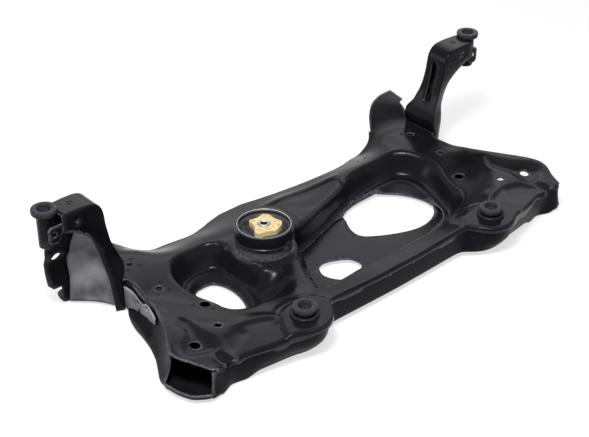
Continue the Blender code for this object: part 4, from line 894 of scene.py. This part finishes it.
def tower_mesh(side):
    """The folded channel of one tower."""
    mesh = bmesh.new()
    profile = curve_through(TOWER_PROFILE, 5.0, closed=False, corners={0})
    travel = np.concatenate([[0], np.cumsum(np.linalg.norm(np.diff(profile, axis=0), axis=1))])
    total = travel[-1]

    near = tower_near_y(profile[:, 0], profile[:, 1])
    far = tower_far_y(profile[:, 0], profile[:, 1])

    def on_web(plan):
        x = np.interp(plan[:, 0], travel, profile[:, 0])
        z = np.interp(plan[:, 0], travel, profile[:, 1])
        return np.column_stack([side * x, plan[:, 1], z])

    across = np.linspace(0, 1, 12)[1:-1]
    edge = list(zip(travel, near)) + [(total, y) for y in near[-1] + (far[-1] - near[-1]) * across]
    edge += list(zip(travel[::-1], far[::-1])) + [(0, y) for y in far[0] + (near[0] - far[0]) * across]
    reach = [float(np.interp(z, profile[:, 1], travel)) for z in SLOT_SPAN]
    ends = SLOT_WIDTH / 2
    slot = [(reach[0] + ends + ends * math.cos(a), SLOT_Y + ends * math.sin(a))
            for a in np.linspace(math.pi / 2, 3 * math.pi / 2, 11)]
    slot += [(s, SLOT_Y - ends) for s in np.linspace(reach[0] + ends, reach[1] - ends, 20)[1:-1]]
    slot += [(reach[1] - ends + ends * math.cos(a), SLOT_Y + ends * math.sin(a))
             for a in np.linspace(-math.pi / 2, math.pi / 2, 11)]
    slot += [(s, SLOT_Y + ends) for s in np.linspace(reach[1] - ends, reach[0] + ends, 20)[1:-1]]
    pilot_s = float(np.interp(TOWER_PILOT[0], profile[-12:, 0], travel[-12:]))
    pilot = circle(pilot_s, *TOWER_PILOT[1:], 20)
    ring = circle(pilot_s, TOWER_PILOT[1], TOWER_PILOT[2] + 6.0, 20)
    folds = [(np.column_stack([travel[1:-1], line[1:-1] + inset]), 2.0)
             for line, inset in ((near, 5.0), (far, -5.0))]
    cut_sheet(mesh, np.array(edge, dtype=float), [np.array(slot), pilot], [(ring, 1.0)] + folds, on_web, 5.0,
              margin=0.6)
    low_z = profile[0][1]
    for free, foot, is_near in ((NEAR_FREE_EDGE, -45.0, True), (FAR_FREE_EDGE, -45.0, False)):
        sharp = {0, 1, len(free)} if is_near else {0, 1, 7, 8, 9, 10, 13, 14}
        open_edge = curve_through([tuple(profile[-1])] + free, 5.0, closed=False, corners=sharp)
        wall = list(profile) + list(open_edge[1:]) + [(TOWER_FOOT_X, foot)]
        wall += [(TOWER_FOOT_X, z) for z in np.arange(foot + 6, low_z - 2, 6.0)] + [(TOWER_FOOT_X, low_z)]

        def on_wall(plan, is_near=is_near):
            wall_y = tower_near_y if is_near else tower_far_y
            return np.column_stack([side * plan[:, 0], wall_y(plan[:, 0], plan[:, 1]), plan[:, 1]])

        cuts = [circle(*(NEAR_HOLE if is_near else FAR_HOLE), 18)]
        cut_sheet(mesh, np.array(wall, dtype=float), cuts, [], on_wall, 6.0, margin=0.6)
    bmesh.ops.remove_doubles(mesh, verts=mesh.verts, dist=0.05 * MM)
    bmesh.ops.recalc_face_normals(mesh, faces=mesh.faces)
    folds = [e for e in mesh.edges if len(e.link_faces) == 2 and e.calc_face_angle(0) > math.radians(60)]
    bmesh.ops.bevel(mesh, geom=folds, offset=4.0 * MM, offset_type='OFFSET', segments=4, profile=0.5,
                    affect='EDGES', clamp_overlap=True, material=-1)
    return mesh


for word, side in (("left", -1), ("right", 1)):
    mesh = tower_mesh(side)
    bmesh.ops.recalc_face_normals(mesh, faces=mesh.faces)
    web_place = Vector(framed([side * 332, 66, 90]))
    web = min(mesh.faces, key=lambda f: (f.calc_center_median() - web_place).length)
    if web.normal.x * side > 0:
        bmesh.ops.reverse_faces(mesh, faces=mesh.faces)
    piece = fitted(word + "_tower_channel", mesh, TOWER_COAT, [word + "_tower_shell"], 50)
    sheet = piece.modifiers.new("sheet thickness", 'SOLIDIFY')
    sheet.thickness = TOWER_SHEET * MM
    sheet.offset = -1
    sheet.use_even_offset = True
    # The inner faces and all cut edges, the slot's rim too, take the dull coat, whose darker colour is painted
    # shade
    sheet.material_offset = 1
    sheet.material_offset_rim = 1
    piece.data.materials.append(SHADED_INSIDE_COAT)


# Closing plates
# A curved 2 mm sheet closes each tower's channel from the outside. Its black coat catches the floor's light,
# and that reflection is painted into its colour as a pale grey, so it reads as a paler grey than the rest.
CLOSING_SHEET = 2.0
CLOSING_NEAR_INSET = 6.0
CLOSING_NEAR_LIMIT = 357.0
CLOSING_FAR_X = [(-40, 369), (-20, 368), (3, 367), (36, 370), (71, 369), (92, 366), (120, 364)]
# The greys of this coat are a painted reflection on black paint
PALE_REFLECTION_COAT = coat_material("black coat with painted pale reflection on closing plate", "#424147", "#a2a1a7", gloss=(0.3, 0.45))
for word, side in (("left", -1), ("right", 1)):
    levels = np.linspace(-41, 116, 34)
    free = sorted((z, x) for x, z in NEAR_FREE_EDGE)
    near_x = np.interp(levels, [z for z, _ in free], [x for _, x in free]) - CLOSING_NEAR_INSET
    near_x = np.minimum(near_x, CLOSING_NEAR_LIMIT)
    far_x = np.interp(levels, *np.array(CLOSING_FAR_X, dtype=float).T)
    mesh = bmesh.new()
    rows = []
    for x0, x1, z in zip(near_x, far_x, levels):
        near = np.array([x0, float(tower_near_y(x0, z)) + TOWER_SHEET + 2.0])
        far = np.array([x1, float(tower_far_y(x1, z)) - TOWER_SHEET * 1.2 - CLOSING_SHEET - 3.0])
        row = [near + (far - near) * t - [7.0 * math.sin(math.pi * t), 0] for t in np.linspace(0, 1, 14)]
        rows.append([mesh.verts.new(p) for p in framed([(side * p[0], p[1], z) for p in row])])
    for a, b in zip(rows, rows[1:]):
        for k in range(len(a) - 1):
            mesh.faces.new((a[k], a[k + 1], b[k + 1], b[k]))
    piece = pressed(word + "_tower_closing_sheet", mesh, CLOSING_SHEET, [word + "_tower_closing_plate"],
                    (side, 0, 0), PALE_REFLECTION_COAT)
    # The plate's inner face takes the dull coat, whose darker colour is painted shade
    piece.data.materials.append(SHADED_INSIDE_COAT)
    piece.modifiers[0].material_offset = 1


# Tower sleeves
# A turned sleeve with a round flange is welded through each arm's end: the car's body rail bolts down on it.
SLEEVE_XY = (415.0, 70.0)
SLEEVE_TOP = 153.0
SLEEVE_LENGTH = 59.0
SLEEVE_FLANGE_R = 18.0
SLEEVE_R = 11.8
SLEEVE_BORE_R = 9.0
for word, side in (("left", -1), ("right", 1)):
    top, low, under_flange = SLEEVE_TOP, SLEEVE_TOP - SLEEVE_LENGTH, SLEEVE_TOP - 6.0
    bore, tube, head = SLEEVE_BORE_R, SLEEVE_R, SLEEVE_FLANGE_R
    profile = [(bore, top - 1.4), (bore + 0.5, top - 0.5), (bore + 1.4, top), (head - 1.6, top),
               (head - 0.5, top - 0.5), (head, top - 1.6), (head, under_flange + 1.2),
               (head - 0.4, under_flange + 0.3), (head - 1.5, under_flange), (tube + 1.5, under_flange),
               (tube + 0.4, under_flange - 0.4), (tube, under_flange - 1.5), (tube, low + 1), (tube - 1, low),
               (bore, low)]
    centre = (side * SLEEVE_XY[0], SLEEVE_XY[1])
    mesh = turned(profile, centre)
    fitted(word + "_tower_bolt_sleeve", mesh, BLACK_COAT, [word + "_tower_sleeve"], 40)
    mesh = bmesh.new()
    arc = [(centre[0] + 15.0 * math.cos(a), centre[1] + 15.0 * math.sin(a), 146.8)
           for a in np.linspace(0, 2 * math.pi, 80, endpoint=False)]
    weld_bead(mesh, arc, 2.6, closed=True, seed=21 + side)
    fitted(word + "_tower_sleeve_weld", mesh, WELD_COAT, crease=80.0)


# Side gussets
# A small 2 mm plate with three punched holes ties the deck's edge to the lower shell behind each tower. It is
# welded to both, and carries the same black coat with a painted pale reflection as the closing plates.
GUSSET_OUTLINE = [(43, -5), (30, -3), (14, -4), (4, -8), (-4, -9), (-12, -5), (-24, -4), (-38, -4), (-47, -6),
                  (-46, -17), (-22, -27), (2, -36), (22, -41), (43, -42)]
GUSSET_HOLES = [(7, -13), (-17, -9.5), (5, -27)]
GUSSET_LINE = [(-48, 332), (-36, 328), (-18, 322.5), (10, 320.5), (44, 318.5)]
for word, side in (("left", -1), ("right", 1)):
    outline = curve_through(GUSSET_OUTLINE, 3.0, corners={0, 8, 9, 13})
    mesh = bmesh.new()
    cut_sheet(mesh, outline, [circle(y, z, 6, 16) for y, z in GUSSET_HOLES], [], lambda plan: np.column_stack(
        [side * np.interp(plan[:, 0], *np.array(GUSSET_LINE, dtype=float).T), plan]), 3.5)
    pressed(word + "_gusset_plate", mesh, CLOSING_SHEET, [word + "_side_gusset"], (side, 0, 0), PALE_REFLECTION_COAT)


# Clip tabs
# A small stamped 2 mm tab with a square hole hangs at the arm's outer end, for a cable clip. It is welded to
# the tower's near wall.
CLIP_TAB_Y = 52.9
CLIP_OUTLINE = [(398, 115), (407, 103), (418, 103), (422, 107), (422, 126), (418, 130), (398, 130)]
for word, side in (("left", -1), ("right", 1)):
    outline = curve_through(CLIP_OUTLINE, 3.0, corners=set(range(7)))
    x, z, half = 413.0, 117.0, 3.4
    square = [(x - half, z - half), (x + half, z - half), (x + half, z + half), (x - half, z + half)]
    hole = curve_through(square, 2.0, corners=set(range(4)))
    mesh = bmesh.new()
    cut_sheet(mesh, outline, [hole], [], lambda plan: np.column_stack(
        [side * plan[:, 0], np.full(len(plan), CLIP_TAB_Y), plan[:, 1]]), 3.0)
    pressed(word + "_clip_plate", mesh, 2.0, [word + "_clip_tab"], (0, -1, 0))


# Mount bush
# A steel ring pressed into a collar on the deck holds a moulded rubber with a cast aluminium core. The ring's
# black coat stops at its bare rim, the rubber lies below the rim, and the core carries a threaded insert.
BUSH_TOP = 42.0
RING_WALL = 3.0
RING_LOW = 20.0
COLLAR_LOW = -4.0
CORE_TOP = 41.0
CORE_LOW = -14.0
CORE_OUTLINE = [(-11, 22), (3, 19), (17, 22), (23, 12), (21, 3), (25, -12), (18, -19), (3, -25), (-10, -19),
                (-23, -16), (-25, -8), (-15, 3)]
CORE_PITS = [(15, -6, 3.2), (21, -10, 2.4), (14, -16, 3.4), (-18, -7, 2.6), (-13, -14, 2.2), (-7, 15, 2.0)]


def rubber_material(name):
    """Moulded black rubber: matte, with a fine mould texture and a greyish bloom."""
    material, tree, shader = new_material(name)
    place = add_node(tree, "ShaderNodeTexCoord").outputs["Object"]
    bloom, grain = [
        add_node(tree, "ShaderNodeTexNoise",
                 {"Vector": place, "Scale": scale, "Detail": detail}).outputs["Fac"]
        for scale, detail in ((90.0, 5.0), (1400.0, 2.0))]
    shade = add_node(tree, "ShaderNodeMapRange", {"Value": bloom, 1: 0.35, 2: 0.8}).outputs[0]
    colour = add_node(tree, "ShaderNodeMix", {"Factor": shade, 6: srgb("#131316"), 7: srgb("#2b2b31")},
                      data_type='RGBA')
    tree.links.new(colour.outputs[2], shader.inputs["Base Color"])
    bump = add_node(tree, "ShaderNodeBump", {"Height": grain, "Strength": 0.3, "Distance": 0.0004})
    tree.links.new(bump.outputs["Normal"], shader.inputs["Normal"])
    shader.inputs["Roughness"].default_value = 0.6
    return material


def cast_material(name):
    """Raw cast aluminium gone pale cream, with the mould's sandy grain; the pits are holes cut in the core."""
    material, tree, shader = new_material(name)
    place = add_node(tree, "ShaderNodeTexCoord").outputs["Object"]
    cloud, grain = [
        add_node(tree, "ShaderNodeTexNoise",
                 {"Vector": place, "Scale": scale, "Detail": detail}).outputs["Fac"]
        for scale, detail in ((160.0, 5.0), (1100.0, 3.0))]
    shade = add_node(tree, "ShaderNodeMapRange", {"Value": cloud, 1: 0.35, 2: 0.7}).outputs[0]
    colour = add_node(tree, "ShaderNodeMix", {"Factor": shade, 6: srgb("#9a875c"), 7: srgb("#c1ae82")},
                      data_type='RGBA')
    tree.links.new(colour.outputs[2], shader.inputs["Base Color"])
    rough = add_node(tree, "ShaderNodeMapRange", {"Value": grain, 3: 0.5, 4: 0.7}).outputs[0]
    tree.links.new(rough, shader.inputs["Roughness"])
    bump = add_node(tree, "ShaderNodeBump", {"Height": grain, "Strength": 0.35, "Distance": 0.0003})
    tree.links.new(bump.outputs["Normal"], shader.inputs["Normal"])
    return material


MOUNT_RUBBER = rubber_material("moulded mount rubber")
CAST_CORE = cast_material("raw cast aluminium")
BARE_RIM = steel_material("bare rim of the bush ring", "#8f8f87", 0.35)
inner = RING_R - RING_WALL
collar = [(COLLAR_R - 3, RING_LOW - 0.4), (COLLAR_R, RING_LOW - 0.4), (COLLAR_R, COLLAR_LOW),
          (COLLAR_R - 3, COLLAR_LOW)]
fitted("bush_collar_ring", turned(collar, BUSH_XY, 96), BLACK_COAT, ["bush_collar"], 40)
ring = [(inner, BUSH_TOP - 1.6), (inner + 1.3, BUSH_TOP - 0.9), (RING_R - 1.6, BUSH_TOP),
        (RING_R - 0.5, BUSH_TOP - 0.5), (RING_R, BUSH_TOP - 1.6), (RING_R, RING_LOW + 3.4),
        (RING_R + 0.9, RING_LOW + 2.6), (RING_R + 1.0, RING_LOW + 1.2), (RING_R - 0.4, RING_LOW),
        (inner, RING_LOW)]
fitted("bush_steel_ring", turned(ring, BUSH_XY, 96), BLACK_COAT, ["bush_outer_ring"], 40)
rim = [(inner - 1.4, BUSH_TOP - 4), (inner - 1.4, BUSH_TOP - 1.0), (inner - 1.0, BUSH_TOP - 0.5),
       (inner - 0.2, BUSH_TOP - 0.5), (inner - 0.05, BUSH_TOP - 1.6), (inner - 0.05, BUSH_TOP - 4)]
fitted("bush_bare_rim", turned(rim, BUSH_XY, 96), BARE_RIM, crease=40)
core_loop = soften(curve_through(CORE_OUTLINE, 1.6, corners=set(range(12))), 3)


def block(outline, holes, low, high, round_off, step=3.0):
    """A solid block between two heights with its top edges rounded."""
    mesh = bmesh.new()
    rings = cut_sheet(mesh, grown(outline, -round_off) + BUSH_XY, [h + BUSH_XY for h in holes], [],
                      lambda plan: np.column_stack([plan, np.full(len(plan), high)]), step)
    rows = []
    for out, down in ((0.5, 0.13), (0.87, 0.5), (1.0, 1.0)):
        loop = grown(outline, -round_off + round_off * out) + BUSH_XY
        rows.append(np.column_stack([loop, np.full(len(loop), high - round_off * down)]))
    loop = outline + BUSH_XY
    rows.append(np.column_stack([loop, np.full(len(loop), low)]))
    turn_edge(mesh, rings[0], rows, closed=True)
    for ring, hole in zip(rings[1:], holes):
        loop = hole + BUSH_XY
        turn_edge(mesh, ring, [np.column_stack([loop, np.full(len(loop), low)])], closed=True)
    bmesh.ops.recalc_face_normals(mesh, faces=mesh.faces)
    return mesh


core_holes = [circle(0, 0, 18.8, 40)] + [circle(*pit, 9) for pit in CORE_PITS]
core_block = block(core_loop, core_holes, CORE_LOW, CORE_TOP, 1.2)
fitted("bush_cast_core", core_block, CAST_CORE, ["bush_core"], 50)
rubber_outer = circle(0, 0, 2 * (inner - 1.6), 96)


def rubber_mesh():
    """The rubber: a wall inside the ring, a lower web, and a shoulder bonded to the core."""
    mesh = bmesh.new()
    hole = grown(core_loop, 0.3)

    def place(plan):
        to_wall = inner - 1.6 - np.linalg.norm(plan - np.array(BUSH_XY), axis=1)
        to_core = distance(plan - np.array(BUSH_XY), hole)
        z = 24.0 + 10.0 * smooth(1 - to_wall / 5.0) + 9.0 * smooth(1 - to_core / 4.0)
        return np.column_stack([plan, z])

    cut_sheet(mesh, rubber_outer + BUSH_XY, [hole + BUSH_XY], [], place, 2.5)
    return mesh


pressed("bush_moulded_rubber", rubber_mesh(), 3.0, ["bush_rubber"], material=MOUNT_RUBBER)
insert = [(5.0, INSERT_TOP - 1.4), (6.2, INSERT_TOP), (7.9, INSERT_TOP), (8.6, INSERT_TOP - 0.7),
          (8.6, CORE_LOW), (5.0, CORE_LOW)]
fitted("bush_thread_insert", turned(insert, BUSH_XY, 48), PLATED_STEEL, ["bush_insert"], 40)


# Floor and backdrop
# A plain pale floor that runs to white, and keeps the part's soft shadow. Its own white and the backdrop's are
# shown to the camera and in the part's gloss, and light nothing else.
def seen_directly(tree):
    """1 for what the camera sees directly, in gloss or through glass."""
    rays = add_node(tree, "ShaderNodeLightPath").outputs
    seen = add_node(tree, "ShaderNodeMath", {0: rays["Is Camera Ray"], 1: rays["Is Glossy Ray"]},
                    operation='MAXIMUM').outputs[0]
    return add_node(tree, "ShaderNodeMath", {0: seen, 1: rays["Is Transmission Ray"]},
                    operation='MAXIMUM').outputs[0]


def pale_floor():
    """Pale floor paint: white to the camera away from the part, with the shadow kept."""
    material, tree, shader = new_material("pale studio floor")
    shader.inputs["Base Color"].default_value = srgb("#8e8e8e")
    shader.inputs["Roughness"].default_value = 0.9
    shader.inputs["Specular IOR Level"].default_value = 0.1
    share = add_node(tree, "ShaderNodeMath", {0: seen_directly(tree), 1: 0.66}, operation='MULTIPLY')
    white = add_node(tree, "ShaderNodeEmission", {"Color": (1, 1, 1, 1), "Strength": share.outputs[0]})
    mix = add_node(tree, "ShaderNodeAddShader", {0: shader.outputs[0], 1: white.outputs[0]})
    tree.links.new(mix.outputs[0], tree.nodes["Material Output"].inputs["Surface"])
    return material


bm = bmesh.new()
bmesh.ops.create_grid(bm, x_segments=1, y_segments=1, size=6.0)
mesh = bpy.data.meshes.new("studio_floor")
bm.to_mesh(mesh)
bm.free()
mesh.materials.append(pale_floor())
floor = bpy.data.objects.new("studio_floor", mesh)
bpy.context.scene.collection.objects.link(floor)

world = bpy.data.worlds.new("studio")
bpy.context.scene.world = world
world.use_nodes = True
tree = world.node_tree
plain = add_node(tree, "ShaderNodeBackground", {"Color": (1, 1, 1, 1), "Strength": 0.2})
white = add_node(tree, "ShaderNodeBackground", {"Color": (1, 1, 1, 1), "Strength": 1.0})
mix = add_node(tree, "ShaderNodeMixShader",
               {0: seen_directly(tree), 1: plain.outputs[0], 2: white.outputs[0]})
tree.links.new(mix.outputs[0], tree.nodes["World Output"].inputs["Surface"])


# Lights
# A large softbox high behind the part, whose light slides over the deck, one above the camera with a small
# bright panel in its middle that draws the glints, and a weak one on the left for the closing plates.
def softbox(name, place, aim, width, height, power):
    """A rectangular area light aimed at a place."""
    data = bpy.data.lights.new(name, 'AREA')
    data.shape = 'RECTANGLE'
    data.size = width
    data.size_y = height
    data.energy = power
    lamp = bpy.data.objects.new(name, data)
    bpy.context.scene.collection.objects.link(lamp)
    lamp.location = place
    lamp.rotation_euler = (Vector(aim) - Vector(place)).to_track_quat('-Z', 'Y').to_euler()
    return lamp


softbox("back softbox", (1.3, 1.6, 1.6), (0, 0, 0), 2.2, 1.3, 16.0)
softbox("front softbox", (-0.9, -0.7, 2.0), (0, 0, 0), 1.5, 0.8, 58.0)
softbox("glint panel", (-0.9, -0.7, 1.98), (0, 0, 0), 0.4, 0.25, 38.0)
softbox("left softbox", (-1.9, 1.5, 0.7), (0, 0, 0.1), 0.9, 0.9, 10.0)

# Camera
# The photograph's viewing angle: from the left rear, above, with a long lens.
AZIMUTH = math.radians(-41.742)
ELEVATION = math.radians(32.558)
back = Vector((math.sin(AZIMUTH) * math.cos(ELEVATION), -math.cos(AZIMUTH) * math.cos(ELEVATION),
               math.sin(ELEVATION)))
camera_data = bpy.data.cameras.new("camera")
camera_data.sensor_width = 36.0
camera_data.lens = 1345.257 / 589 * 36.0
camera = bpy.data.objects.new("camera", camera_data)
bpy.context.scene.collection.objects.link(camera)
camera.location = Vector((-1.1687, -1.2721, 1.0964)) + Vector(DATUM)
camera.rotation_euler = back.to_track_quat('Z', 'Y').to_euler()
bpy.context.scene.camera = camera
bpy.context.scene.view_settings.view_transform = 'Standard'
